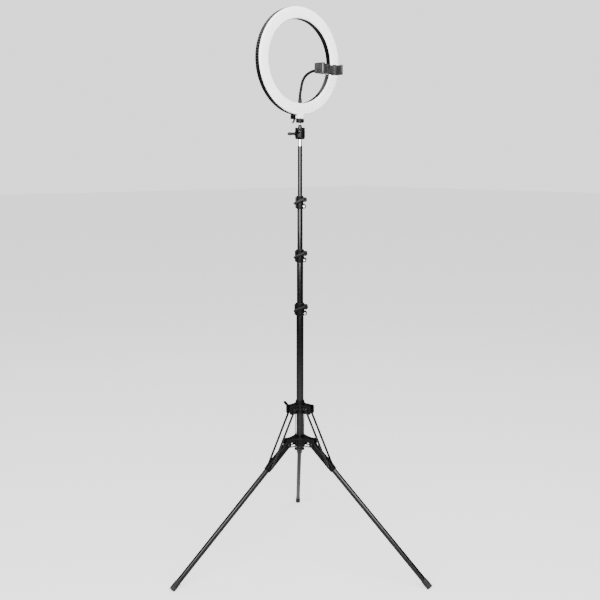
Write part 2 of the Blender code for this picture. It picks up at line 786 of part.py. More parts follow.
def make_lamp(tilt):
    lamp = pivot("lamp_swivel", tilt, (0, 0, RING_Z - BALL_Z), (0, 0, -NOTCH_AZIMUTH))
    facing = (90, 0, 0)
    outer, inner, seam, rear = RING_OUTER, RING_INNER, RING_SEAM, RING_REAR
    edge = 0.0032
    profile = [
        (outer, seam),
        (outer, rear + edge),
        (outer - edge, rear),
        (inner + edge, rear),
        (inner, rear + edge),
        (inner, seam),
        (inner + SHELL, seam),
        (inner + SHELL, rear + edge + 0.0006),
        (inner + edge + 0.0008, rear + SHELL),
        (outer - edge - 0.0008, rear + SHELL),
        (outer - SHELL, rear + edge + 0.0006),
        (outer - SHELL, seam),
    ]
    turned("ring_housing", profile, "black_plastic", lamp, turn=facing, steps=RING_STEPS, hollow=True)
    face = seam + GAP
    front = RING_FRONT
    crown = (outer + inner) / 2
    profile = [
        (outer - 0.0004, front - 0.0030),
        (outer - 0.0004, face),
        (outer - 0.0024, face),
        (outer - 0.0028, front - 0.0036),
        (crown, front - 0.0020),
        (inner + 0.0028, front - 0.0036),
        (inner + 0.0024, face),
        (inner + 0.0004, face),
        (inner + 0.0004, front - 0.0030),
        (inner + 0.0030, front - 0.0008),
        (crown, front),
        (outer - 0.0030, front - 0.0008),
    ]
    diffuser = turned(
        "ring_diffuser", profile, "milky_plastic", lamp, turn=facing, steps=RING_STEPS, hollow=True
    )
    foot_low = LOCK_RING_Z[1] + 0.0012 - RING_Z
    foot_top = -outer - GAP - 0.0001
    foot_half = 0.0100
    tongue_front = front - 0.0012
    tongue_outline = rounded((-foot_half, foot_low), (foot_half, -outer + 0.0075), 0.003)
    middle = (0, -(face + tongue_front) / 2, 0)
    tongue = plate("foot_front", [tongue_outline], tongue_front - face, None, lamp, middle, facing)
    foot = block(
        "foot_block",
        (-foot_half + 0.0001, -tongue_front + 0.0001, foot_low + 0.0001),
        (foot_half - 0.0001, FOOT_BACK, foot_top),
        None,
        lamp,
    )
    join(diffuser, tongue, foot)
    stud_room = rod("stud_room", THREAD_R + RUN, foot_low - 0.002, STEM_TOP + 0.0005 - RING_Z, None, lamp)
    cut(diffuser, stud_room)
    board_rear = rear + SHELL + 0.0005
    profile = [
        (outer - 0.0038, board_rear + 0.0016),
        (outer - 0.0038, board_rear),
        (inner + 0.0045, board_rear),
        (inner + 0.0045, board_rear + 0.0016),
    ]
    turned("led_board", profile, "board_white", lamp, turn=facing, steps=36, hollow=True)

    block_low = LOCK_RING_Z[1] + GAP - RING_Z
    mount = block(
        "mount_block",
        (-foot_half, FOOT_BACK + GAP, block_low),
        (foot_half, MOUNT_BACK, foot_top),
        "black_plastic",
        lamp,
    )
    back = block(
        "mount_back",
        (-foot_half + 0.0002, -rear + GAP, block_low + 0.001),
        (foot_half - 0.0002, MOUNT_BACK - 0.0002, -0.138),
        None,
        lamp,
    )
    join(mount, back)
    gland_y = 0.0260
    route = [(0, gland_y, block_low - GAP), (0, gland_y, block_low - 0.0030)]
    route += [(0, gland_y + 0.0013, block_low - 0.0060), (0, gland_y + 0.0037, block_low - 0.0085)]
    route += [(0, gland_y + 0.0070, block_low - 0.0098)]
    tube("cable_gland", route, (0.0031, 0.0030, 0.0028, 0.0026, 0.0024), "rubber", lamp)
    return lamp


def arm_points(first, last):
    """Points of the phone arm's route, evenly spaced on a smooth curve through the route's own points."""
    fine = []
    count = len(ARM_ROUTE)
    for i in range(first, last):
        before = ARM_ROUTE[max(i - 1, 0)]
        start, end = ARM_ROUTE[i], ARM_ROUTE[i + 1]
        after = ARM_ROUTE[min(i + 2, count - 1)]
        for step in range(3):
            t = step / 3
            fine.append(tuple(
                0.5 * (2 * b + (c - a) * t + (2 * a - 5 * b + 4 * c - d) * t * t
                       + (3 * b - a - 3 * c + d) * t ** 3)
                for a, b, c, d in zip(before, start, end, after)
            ))
    fine.append(ARM_ROUTE[last])
    return fine


def shortened(points, distance):
    """The route without the last stretch of it."""
    kept = list(points)
    while math.dist(kept[-1], kept[-2]) < distance:
        distance -= math.dist(kept[-1], kept[-2])
        kept.pop()
    share = distance / math.dist(kept[-1], kept[-2])
    kept[-1] = tuple(b + (a - b) * share for a, b in zip(kept[-2], kept[-1]))
    return kept


def domed(points, radius):
    """The route with a half-round end before its first point, and the radius at each point."""
    (x0, z0), (x1, z1) = points[:2]
    step = math.dist(points[0], points[1])
    way = ((x0 - x1) / step, (z0 - z1) / step)
    route, radii = [], []
    for angle in (80, 60, 40, 20):
        out = radius * math.sin(math.radians(angle))
        route.append((x0 + way[0] * out, z0 + way[1] * out))
        radii.append(radius * math.cos(math.radians(angle)))
    return route + points, radii + [radius] * len(points)


def make_phone_arm(lamp):
    """The gooseneck, as three stretches that hinge at two of its bends."""
    base = pivot("gooseneck_swing", lamp, (0, 0, ARM_ROUTE[0][1] - RING_Z), (0, 0, ARM_AZIMUTH))
    base_z = ARM_ROUTE[0][1]
    low = RING_Z - RING_INNER + GAP + 0.0002 - base_z
    profile = [
        (0.0044, -GAP),
        (0.0050, -0.0035),
        (0.0057, low + 0.0020),
        (0.0057, low),
        (0, low),
    ]
    ferrule_base = pivot("ferrule_seat", lamp, (0, 0, base_z - RING_Z))
    turned("gooseneck_ferrule", [(0, -GAP), *profile], "black_plastic", ferrule_base, steps=20)

    ends = (0, *ARM_BENDS, len(ARM_ROUTE) - 1)
    words = ("lower", "middle", "upper")
    holder = base
    origin = ARM_ROUTE[0]
    for i, word in enumerate(words):
        start = ARM_ROUTE[ends[i]]
        if i:
            spot = (start[0] - origin[0], 0, start[1] - origin[1])
            holder = pivot(f"gooseneck_bend_{i}", holder, spot)
            origin = start
        points = arm_points(ends[i], ends[i + 1])
        if i < len(words) - 1:
            points = shortened(points, ARM_RADIUS + GAP)
        route, radii = domed(points, ARM_RADIUS) if i else (points, [ARM_RADIUS] * len(points))
        local = [(x - origin[0], 0, z - origin[1]) for x, z in route]
        arm = tube(f"gooseneck_{word}", local, radii, "black_plastic", holder)
    ball_spot = (HOLDER_BALL[0] - origin[0], 0, HOLDER_BALL[1] - origin[1])
    profile = [(0, HOLDER_BALL_R), *arc(0, 0, HOLDER_BALL_R, 70, -70, 6), (0, -HOLDER_BALL_R)]
    join(arm, turned("arm_ball", profile, None, holder, ball_spot, steps=14))
    return pivot("holder_tilt", holder, ball_spot)


def make_holder(tilt):
    """The phone holder, with +X forward: the fixed jaw is on -Y and the sliding jaw on +Y."""
    forward = HOLDER_BALL[0]
    cup = HOLDER_BALL_R + RUN
    back = -0.0040
    front = HOLDER_BACK - GAP - forward
    outer = 0.0085
    profile = [
        (0, front),
        (outer - 0.0010, front),
        (outer, front - 0.0010),
        (outer, back + 0.0030),
        (outer - 0.0018, back),
        (0, back),
    ]
    nut = turned("holder_nut", profile, "black_plastic", tilt, turn=(0, 90, 0), steps=18)
    mouth = math.degrees(math.asin(0.0026 / cup))
    cavity = [(0, cup), *arc(0, 0, cup, 75, -mouth, 8)]
    cavity += [(0.0070, back - 0.002), (0, back - 0.002)]
    cut(nut, turned("nut_cavity", cavity, None, tilt, turn=(0, 90, 0), steps=16))

    roll = pivot("holder_roll", tilt, (HOLDER_BACK - forward, 0, 0))
    half = HOLDER_HEIGHT / 2
    jaw = GRIP_HALF + PAD_THICKNESS + GAP
    body = HOLDER_BODY
    depth = HOLDER_DEPTH
    body_end = 0.0100
    fixed = -1
    # Outline seen from above: the body behind the phone and the fixed jaw with its lip.
    outline = [
        (0, body_end),
        (0, fixed * (jaw + JAW_THICKNESS - 0.003)),
        *arc(0.003, fixed * (jaw + JAW_THICKNESS - 0.003), 0.003, 180, 270, 3),
        (depth - 0.002, fixed * (jaw + JAW_THICKNESS)),
        (depth, fixed * (jaw + JAW_THICKNESS - 0.002)),
        (depth, fixed * (jaw - 0.0045)),
        (depth - 0.0035, fixed * (jaw - 0.0045)),
        (depth - 0.0045, fixed * jaw),
        (body, fixed * jaw),
        (body, body_end),
    ]
    frame = plate("holder_frame", [outline], HOLDER_HEIGHT, "grey_plastic", roll)
    slot_low = (0.0040, -0.0300, -half + 0.0040)
    slot_high = (0.0120, body_end + 0.002, half - 0.0040)
    cut(frame, block("slider_slot", slot_low, slot_high, None, roll))
    pad_low = (body + 0.0008, fixed * (jaw - GAP), -half + 0.002)
    pad_high = (depth - 0.0052, fixed * GRIP_HALF, half - 0.002)
    low = tuple(min(a, b) for a, b in zip(pad_low, pad_high))
    high = tuple(max(a, b) for a, b in zip(pad_low, pad_high))
    block("pad_fixed", low, high, "rubber", roll, bevel=0.0004)

    slide = pivot("jaw_slide", roll)
    root = jaw - 0.012
    outline = [
        (0, root),
        (body, root),
        (body, jaw),
        (depth - 0.0045, jaw),
        (depth - 0.0035, jaw - 0.0045),
        (depth, jaw - 0.0045),
        (depth, jaw + JAW_THICKNESS - 0.002),
        (depth - 0.002, jaw + JAW_THICKNESS),
        *arc(0.003, jaw + JAW_THICKNESS - 0.003, 0.003, 90, 180, 3),
    ]
    sliding = plate("sliding_jaw", [outline], HOLDER_HEIGHT, "grey_plastic", slide)
    slider_low = (0.0045, -0.0080, -half + 0.0045)
    slider_high = (0.0115, root + 0.003, half - 0.0045)
    join(sliding, block("slider", slider_low, slider_high, None, slide))
    pad_low = (body + 0.0008, GRIP_HALF, -half + 0.002)
    pad_high = (depth - 0.0052, jaw - GAP, half - 0.002)
    block("pad_sliding", pad_low, pad_high, "rubber", slide, bevel=0.0004)


def main():
    x, y = column_offset()
    stand = pivot("stand", None, (x, y, 0))
    carriage = pivot("carriage_slide", stand)
    slope = math.degrees(math.atan2(LEG_HINGE_Z - FOOT_Z, FOOT_R - LEG_HINGE_R))
    length = math.hypot(LEG_HINGE_Z - FOOT_Z, FOOT_R - LEG_HINGE_R)
    make_column(stand)
    make_lower_hub(stand)
    make_upper_hub(carriage)
    make_hub_knob(carriage)
    for index, azimuth in enumerate(LEG_AZIMUTHS, 1):
        leg = make_leg(stand, index, azimuth, slope, length)
        make_braces(carriage, leg, index, azimuth, slope)
    body = stand
    make_clamp(body, 1)
    for index in (1, 2, 3):
        body = pivot(f"mast_slide_{index}", body)
        make_mast_tube(body, index)
        if index < 3:
            make_clamp(body, index + 1)
    make_mast_stud(body)
    head = make_head(body)
    tilt = make_ball(head)
    lamp = make_lamp(tilt)
    make_holder(make_phone_arm(lamp))


main()
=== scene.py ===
"""Looks of the ring light: fine shells, tubes, hubs, clamps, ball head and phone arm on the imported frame."""

import json
import math

import bmesh
import bpy
from mathutils import Euler, Matrix, Vector


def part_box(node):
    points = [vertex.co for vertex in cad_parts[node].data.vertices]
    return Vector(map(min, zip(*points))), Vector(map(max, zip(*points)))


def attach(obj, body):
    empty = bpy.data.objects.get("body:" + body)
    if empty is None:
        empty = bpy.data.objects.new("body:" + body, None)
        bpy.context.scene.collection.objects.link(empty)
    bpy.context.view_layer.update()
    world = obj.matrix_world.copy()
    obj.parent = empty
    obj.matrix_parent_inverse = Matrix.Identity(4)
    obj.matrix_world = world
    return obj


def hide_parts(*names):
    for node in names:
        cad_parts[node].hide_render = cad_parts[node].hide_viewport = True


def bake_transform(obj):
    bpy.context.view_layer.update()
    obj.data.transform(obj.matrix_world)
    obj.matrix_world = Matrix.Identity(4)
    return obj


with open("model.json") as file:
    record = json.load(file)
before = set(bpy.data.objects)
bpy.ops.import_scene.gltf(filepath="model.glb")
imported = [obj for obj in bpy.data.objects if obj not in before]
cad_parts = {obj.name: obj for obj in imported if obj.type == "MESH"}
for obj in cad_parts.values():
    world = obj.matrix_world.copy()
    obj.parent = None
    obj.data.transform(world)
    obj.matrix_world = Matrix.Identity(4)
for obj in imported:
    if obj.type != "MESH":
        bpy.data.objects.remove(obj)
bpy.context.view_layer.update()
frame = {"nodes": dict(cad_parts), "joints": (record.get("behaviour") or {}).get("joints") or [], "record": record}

JOINTS = {joint["name"]: joint for joint in frame["joints"]}


def joint_spot(name):
    return Vector(JOINTS[name]["pos_m"])


AXIS_X, AXIS_Y, BALL_Z = joint_spot("head_pan")
STAND = Matrix.Translation((AXIS_X, AXIS_Y, 0))
LEGS = (1, 2, 3)

# Stand sizes, in metres
GAP = 0.0003
TUBE_RADII = (0.0110, 0.0095, 0.0080, 0.0065)
TUBE_WALL = 0.0011
CLAMP_WALL = 0.0025
CLAMP_HEIGHT = 0.038
CLAMP_SHOULDER = 0.0225
CLAMP_FRONT = 0.0080
CLAMP_REACHES = (0.0236, 0.0217, 0.0203)
CLAMP_AZIMUTH = -41
SPINE_REACH = 0.0035
SPINE_WIDTH = 0.009
UPPER_BOSS = -0.011
LOWER_BOSS = -0.0305
BOSS_HEIGHT = 0.013
EAR_INNER = 0.0088
EAR_THICKNESS = 0.0024
LUG_OUTER = 0.0120
LUG_THICKNESS = 0.0025
LEG_WIDTH = 0.0130
LEG_DEPTH = 0.0140
LEG_CORNER = 0.0040
BRACKET_WIDTH = 0.0168
BRACKET_DEPTH = 0.0170
BRACKET_LENGTH = 0.1005
LEG_PIN_R = 0.0026
LEG_WALL = 0.0012
FOOT_REACH = 0.430
FOOT_Z = 0.0034
FOOT_LENGTH = 0.028
FOOT_SOCKET = 0.016
FOOT_WALL = 0.0012
BRACE_INNER = 0.0124
BRACE_BOSS_R = 0.0052
BRACE_THICKNESS = 0.0022
BRACE_HALF_WIDTH = 0.0034
BRACE_END = 0.0046
BRACE_HOLE_R = 0.0027
BRACE_PIN_R = 0.0022

# Head and lamp sizes, in metres
BALL_R = 0.0095
HOUSING_R = 0.0145
THREAD_R = 0.0031
THREAD_DEPTH = 0.0004
NECK_R = 0.0058
NECK_Z = (1.3200, 1.3250)
LOCK_RING_R = 0.0118
NOTCH_AZIMUTH = 210
KNOB_AZIMUTH = 139
HUB_KNOB_AZIMUTH = 109
RING_INNER = 0.1164
RING_SEAM = -0.0005
FOOT_BACK = 0.0083
GLAND_BACK = 0.0260
RIB_COUNT = 120
ARM_AZIMUTH = -82
ARM_RADIUS = 0.0039
ARM_ROUTE = (
    (0.0000, 1.4010), (0.0001, 1.4060), (0.0012, 1.4140), (0.0042, 1.4265),
    (0.0072, 1.4390), (0.0123, 1.4500), (0.0205, 1.4595), (0.0310, 1.4660),
    (0.0430, 1.4702), (0.0560, 1.4724), (0.0680, 1.4733),
)
HOLDER_BALL_R = 0.0055
HOLDER_BACK = 0.0890
HOLDER_BODY = 0.0160
HOLDER_DEPTH = 0.0330
HOLDER_HEIGHT = 0.0275
GRIP_HALF = 0.038
PAD_THICKNESS = 0.002
JAW_THICKNESS = 0.0045


# Materials

def new_material(name, colour, roughness, **sockets):
    """A Principled material whose plain values sit on the shader's own sockets."""
    material = bpy.data.materials.new(name)
    material.use_nodes = True
    shader = material.node_tree.nodes["Principled BSDF"]
    shader.inputs["Base Color"].default_value = (*colour, 1)
    shader.inputs["Roughness"].default_value = roughness
    for socket, value in sockets.items():
        shader.inputs[socket.replace("_", " ")].default_value = value
    return material


def add_node(material, kind, **values):
    """A node with its named inputs set, or linked where the value is a socket."""
    node = material.node_tree.nodes.new(kind)
    for name, value in values.items():
        socket = node.inputs[name.replace("_", " ")]
        if isinstance(value, bpy.types.NodeSocket):
            material.node_tree.links.new(value, socket)
        else:
            socket.default_value = value
    return node


def feed(material, output, socket):
    """Link a node's output to a socket of the material's shader."""
    shader = material.node_tree.nodes["Principled BSDF"]
    material.node_tree.links.new(output, shader.inputs[socket])


def noise(material, scale, stretch=(1, 1, 1), detail=3.0):
    """A noise in the object's own metres, stretched along an axis where its factor is small."""
    place = add_node(material, "ShaderNodeTexCoord").outputs["Object"]
    spread = add_node(material, "ShaderNodeMapping", Vector=place, Scale=stretch).outputs[0]
    node = add_node(material, "ShaderNodeTexNoise", Vector=spread, Scale=scale, Detail=detail, Roughness=0.5)
    return node.outputs["Fac"]


def vary_roughness(material, fac, low, high):
    limits = {"From_Min": 0.3, "From_Max": 0.7, "To_Min": low, "To_Max": high}
    feed(material, add_node(material, "ShaderNodeMapRange", Value=fac, **limits).outputs[0], "Roughness")


def vary_colour(material, fac, first, second):
    ramp = add_node(material, "ShaderNodeValToRGB", Fac=fac)
    for stop, position, colour in zip(ramp.color_ramp.elements, (0.32, 0.68), (first, second)):
        stop.position = position
        stop.color = (*colour, 1)
    feed(material, ramp.outputs[0], "Base Color")


def add_bump(material, *layers):
    """Height layers, each a factor with its depth in metres."""
    normal = None
    for fac, depth in layers:
        node = add_node(material, "ShaderNodeBump", Height=fac, Distance=depth, Strength=1.0)
        if normal is not None:
            material.node_tree.links.new(normal, node.inputs["Normal"])
        normal = node.outputs[0]
    feed(material, normal, "Normal")


def make_enamel(name, stretch):
    """Satin black enamel over drawn tube: orange peel, with faint lines along the draw."""
    material = new_material(name, (0.0015, 0.0015, 0.0016), 0.18, Specular_IOR_Level=0.32)
    vary_colour(material, noise(material, 35, detail=2), (0.0011, 0.0011, 0.0012), (0.0022, 0.0022, 0.0023))
    vary_roughness(material, noise(material, 260, stretch), 0.15, 0.22)
    add_bump(material, (noise(material, 700, detail=1), 0.000012), (noise(material, 900, stretch), 0.000006))
    return material


def make_moulded(name, dark, light, smooth, rough, grain, gloss=0.5):
    """Moulded plastic with a spark-eroded grain."""
    material = new_material(name, dark, smooth, Specular_IOR_Level=gloss)
    vary_colour(material, noise(material, 60, detail=4), dark, light)
    vary_roughness(material, noise(material, 140, detail=5), smooth, rough)
    fine, coarse = noise(material, 2600, detail=2), noise(material, 420, detail=2)
    add_bump(material, (fine, grain), (coarse, grain * 0.7))
    return material


def make_milky():
    """Frosted acrylic that carries light below its surface."""
    material = new_material(
        "milky_plastic", (0.88, 0.88, 0.88), 0.30, Coat_Weight=0.15, Coat_Roughness=0.12,
        Subsurface_Weight=0.35, Subsurface_Scale=0.004, Subsurface_Radius=(1, 1, 1),
    )
    vary_colour(material, noise(material, 22, detail=2), (0.865, 0.865, 0.862), (0.895, 0.895, 0.893))
    vary_roughness(material, noise(material, 90), 0.27, 0.36)
    add_bump(material, (noise(material, 3200, detail=1), 0.000010))
    return material


def make_metal(name, dark, light, smooth, rough, stretch, line_depth):
    """Turned metal with fine tool lines."""
    material = new_material(name, light, smooth, Metallic=1.0)
    vary_colour(material, noise(material, 180, detail=3), dark, light)
    vary_roughness(material, noise(material, 500, stretch, detail=4), smooth, rough)
    add_bump(material, (noise(material, 1500, stretch, detail=2), line_depth))
    return material


def make_rubber():
    material = new_material("rubber", (0.006, 0.006, 0.006), 0.8, Specular_IOR_Level=0.35)
    vary_colour(material, noise(material, 45, detail=4), (0.004, 0.004, 0.004), (0.009, 0.009, 0.009))
    vary_roughness(material, noise(material, 200, detail=4), 0.68, 0.88)
    add_bump(material, (noise(material, 1700, detail=3), 0.00004))
    return material


MATERIALS = {
    "black_enamel": make_enamel("black_enamel", (1, 1, 0.03)),
    "leg_enamel": make_enamel("leg_enamel", (1, 1, 1)),
    "black_plastic": make_moulded(
        "black_plastic", (0.0010, 0.0010, 0.0011), (0.0026, 0.0026, 0.0027), 0.26, 0.36, 0.000020, 0.12
    ),
    "grey_plastic": make_moulded(
        "grey_plastic", (0.012, 0.012, 0.0125), (0.026, 0.026, 0.027), 0.22, 0.32, 0.000014, 0.55
    ),
    "milky_plastic": make_milky(),
    "board_white": make_moulded("board_white", (0.72, 0.72, 0.69), (0.80, 0.80, 0.77), 0.40, 0.50, 0.00001),
    "chrome": make_metal("chrome", (0.80, 0.80, 0.81), (0.90, 0.90, 0.91), 0.07, 0.13, (1, 1, 12), 0.000003),
    "zinc_steel": make_metal(
        "zinc_steel", (0.60, 0.60, 0.61), (0.76, 0.76, 0.77), 0.22, 0.34, (1, 1, 1), 0.000008
    ),
    "rubber": make_rubber(),
}
CAD_SLOTS = {row["node"]: row["material_slot"] for row in frame["record"]["subparts"]}
for name, node in frame["nodes"].items():
    node.data.materials.clear()
    node.data.materials.append(MATERIALS[CAD_SLOTS[name]])


# Shapes

def heights(node):
    """The lowest and highest Z of a CAD node."""
    low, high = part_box(node)
    return low.z, high.z


def added(name, data):
    """A new object in the scene."""
    item = bpy.data.objects.new(name, data)
    bpy.context.scene.collection.objects.link(item)
    return item


def move(x=0.0, y=0.0, z=0.0):
    return Matrix.Translation((x, y, z))


def turn(x=0.0, y=0.0, z=0.0):
    return Euler([math.radians(angle) for angle in (x, y, z)]).to_matrix().to_4x4()


def arc(x, y, radius, start, end, steps):
    """Points on an arc, with its angles in degrees."""
    turns = [math.radians(start + (end - start) * i / steps) for i in range(steps + 1)]
    return [(x + radius * math.cos(t), y + radius * math.sin(t)) for t in turns]


def circle(x, y, radius, steps=32):
    return arc(x, y, radius, 0, 360, steps)[:-1]


def rounded(low, high, radius, steps=7):
    """The outline of a rectangle with round corners."""
    left, bottom = low
    right, top = high
    return (
        arc(right - radius, top - radius, radius, 0, 90, steps)
        + arc(left + radius, top - radius, radius, 90, 180, steps)
        + arc(left + radius, bottom + radius, radius, 180, 270, steps)
        + arc(right - radius, bottom + radius, radius, 270, 360, steps)
    )


def eased(points, size, closed=False, steps=4):
    """The points with each corner turned into a small curve that starts at most size away from it."""
    count = len(points)
    made = []
    for i, point in enumerate(points):
        if not closed and i in (0, count - 1):
            made.append(tuple(point))
            continue
        corner = Vector(point)
        before = Vector(points[i - 1])
        after = Vector(points[(i + 1) % count])
        if (corner - before).angle(after - corner, 0) < math.radians(12):
            made.append(tuple(point))
            continue
        start, end = (
            corner + (other - corner) * min(0.5, size / (other - corner).length) for other in (before, after)
        )
        for step in range(steps + 1):
            t = step / steps
            made.append(tuple(start * (1 - t) ** 2 + corner * 2 * t * (1 - t) + end * t * t))
    return made


def finished(shape, merge=0.000002):
    """A mesh from a bmesh, with doubles merged and its faces turned outwards."""
    bmesh.ops.remove_doubles(shape, verts=shape.verts, dist=merge)
    bmesh.ops.recalc_face_normals(shape, faces=shape.faces)
    mesh = bpy.data.meshes.new("shape")
    shape.to_mesh(mesh)
    shape.free()
    return mesh


def lathe(profile, steps=96, closed=False, wobble=None):
    """A profile of (radius, height) points turned about Z. wobble(step, point) is added to a radius."""
    shape = bmesh.new()
    count = len(profile)
    rings = []
    for step in range(steps):
        angle = 2 * math.pi * step / steps
        ring = []
        for i, (radius, height) in enumerate(profile):
            reach = radius + (wobble(step, i) if wobble else 0)
            ring.append(shape.verts.new((reach * math.cos(angle), reach * math.sin(angle), height)))
        rings.append(ring)
    for step in range(steps):
        first, second = rings[step], rings[(step + 1) % steps]
        for i in range(count if closed else count - 1):
            j = (i + 1) % count
            shape.faces.new((first[i], second[i], second[j], first[j]))
    bmesh.ops.remove_doubles(shape, verts=shape.verts, dist=0.0000001)
    bmesh.ops.dissolve_degenerate(shape, edges=shape.edges, dist=0.0000001)
    return finished(shape)


def sleeve(profile, ease):
    """A ring about Z whose closed section has eased corners."""
    return lathe(eased(profile, ease, closed=True), 96, closed=True)


def rod(radius, low, high, steps=48, ease=0.0):
    """A cylinder along Z from low to high, with eased rims where ease is given."""
    profile = [(0, high), (radius, high), (radius, low), (0, low)]
    return lathe(eased(profile, ease) if ease else profile, steps)


def plate(loops, depth, bevel=0.0004):
    """A flat outline, with any holes, that reaches half its depth each way along Z, with rounded rims."""
    curve = bpy.data.curves.new("outline", "CURVE")
    curve.dimensions = "2D"
    curve.fill_mode = "BOTH"
    curve.extrude = depth / 2 - bevel
    curve.bevel_depth = bevel
    curve.bevel_resolution = 2
    curve.offset = -bevel
    for loop in loops:
        spline = curve.splines.new("POLY")
        spline.points.add(len(loop) - 1)
        for point, (x, y) in zip(spline.points, loop):
            point.co = (x, y, 0, 1)
        spline.use_cyclic_u = True
    guide = added("outline", curve)
    graph = bpy.context.evaluated_depsgraph_get()
    mesh = bpy.data.meshes.new_from_object(guide.evaluated_get(graph))
    bpy.data.objects.remove(guide)
    bpy.data.curves.remove(curve)
    mesh.materials.clear()
    shape = bmesh.new()
    shape.from_mesh(mesh)
    return finished(shape, 0.000005)


def block(low, high, bevel=0.0006, segments=3):
    """A box between two corners with rounded edges."""
    shape = bmesh.new()
    bmesh.ops.create_cube(shape, size=1.0)
    bmesh.ops.scale(shape, verts=shape.verts, vec=[b - a for a, b in zip(low, high)])
    bmesh.ops.translate(shape, verts=shape.verts, vec=[(a + b) / 2 for a, b in zip(low, high)])
    if bevel:
        bmesh.ops.bevel(
            shape, geom=shape.edges[:], offset=bevel, segments=segments, profile=0.5, affect="EDGES"
        )
    return finished(shape, 0.0000005)


def sweep(points, radii, sides=24):
    """A round bar along points in the XZ plane, with a radius at each point and closed ends."""
    shape = bmesh.new()
    rings = []
    across = Vector((0, 1, 0))
    spots = [Vector((x, 0, z)) for x, z in points]
    for i, (spot, radius) in enumerate(zip(spots, radii)):
        way = (spots[min(i + 1, len(spots) - 1)] - spots[max(i - 1, 0)]).normalized()
        up = across.cross(way)
        ring = []
        for side in range(sides):
            angle = 2 * math.pi * side / sides
            ring.append(shape.verts.new(spot + (across * math.cos(angle) + up * math.sin(angle)) * radius))
        rings.append(ring)
    for first, second in zip(rings, rings[1:]):
        for side in range(sides):
            other = (side + 1) % sides
            shape.faces.new((first[side], first[other], second[other], second[side]))
    shape.faces.new(rings[0])
    shape.faces.new(rings[-1])
    return finished(shape, 0.0000001)


def placed(mesh, *matrices):
    """The mesh moved by the matrices, the last one first."""
    total = Matrix.Identity(4)
    for matrix in matrices:
        total = total @ matrix
    mesh.transform(total)
    if total.determinant() < 0:
        mesh.flip_normals()
    return mesh


def combined(base, joins=(), cuts=()):
    """The base mesh with others joined to it and cut from it."""
    holder = added("base", base)
    tools = []
    for mesh, operation in [*((m, "UNION") for m in joins), *((m, "DIFFERENCE") for m in cuts)]:
        tools.append(added("tool", mesh))
        modifier = holder.modifiers.new("step", "BOOLEAN")
        modifier.operation = operation
        modifier.solver = "EXACT"
        modifier.object = tools[-1]
    graph = bpy.context.evaluated_depsgraph_get()
    mesh = bpy.data.meshes.new_from_object(holder.evaluated_get(graph))
    for tool in tools:
        bpy.data.objects.remove(tool)
    bpy.data.objects.remove(holder)
    return mesh


def show(name, mesh, look, body, *nodes, sharp=40):
    """The finished mesh as a piece that rides on a body and stands for the CAD nodes named."""
    mesh.name = name
    mesh.materials.clear()
    mesh.materials.append(MATERIALS[look])
    mesh.polygons.foreach_set("material_index", [0] * len(mesh.polygons))
    mesh.shade_smooth()
    mesh.set_sharp_from_angle(angle=math.radians(sharp))
    piece = added(name, mesh)
    if body:
        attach(piece, body)
    if nodes:
        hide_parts(*nodes)
    return piece


# Mast

def make_tubes():
    """The column and the three mast tubes, with rolled top rims."""
    for node, body, radius in zip(
        ("column_tube", "mast_tube_1", "mast_tube_2", "mast_tube_3"),
        ("stand", "mast_section_1", "mast_section_2", "mast_section_3"),
        TUBE_RADII,
    ):
        low, high = heights(node)
        inner = radius - TUBE_WALL
        mesh = placed(sleeve([(radius, high), (radius, low), (inner, low), (inner, high)], 0.0004), STAND)
        show(node.replace("tube", "drawn_tube"), mesh, "black_enamel", body, node)


def make_end_plug():
    low, high = heights("column_end_plug")
    spigot = TUBE_RADII[0] - TUBE_WALL - GAP
    rim = TUBE_RADII[0] + 0.0006
    flange = low + 0.0025
    profile = [(0, high), (spigot - 0.001, high), (spigot, high - 0.001), (spigot, flange), (rim, flange)]
    profile += [(rim, low + 0.001), (rim - 0.001, low)]
    profile += [(0.005, low), (0.0045, low + 0.0006), (0, low + 0.0006)]
    plug = placed(lathe(eased(profile, 0.0004)), STAND)
    show("column_foot_plug", plug, "black_plastic", "stand", "column_end_plug")


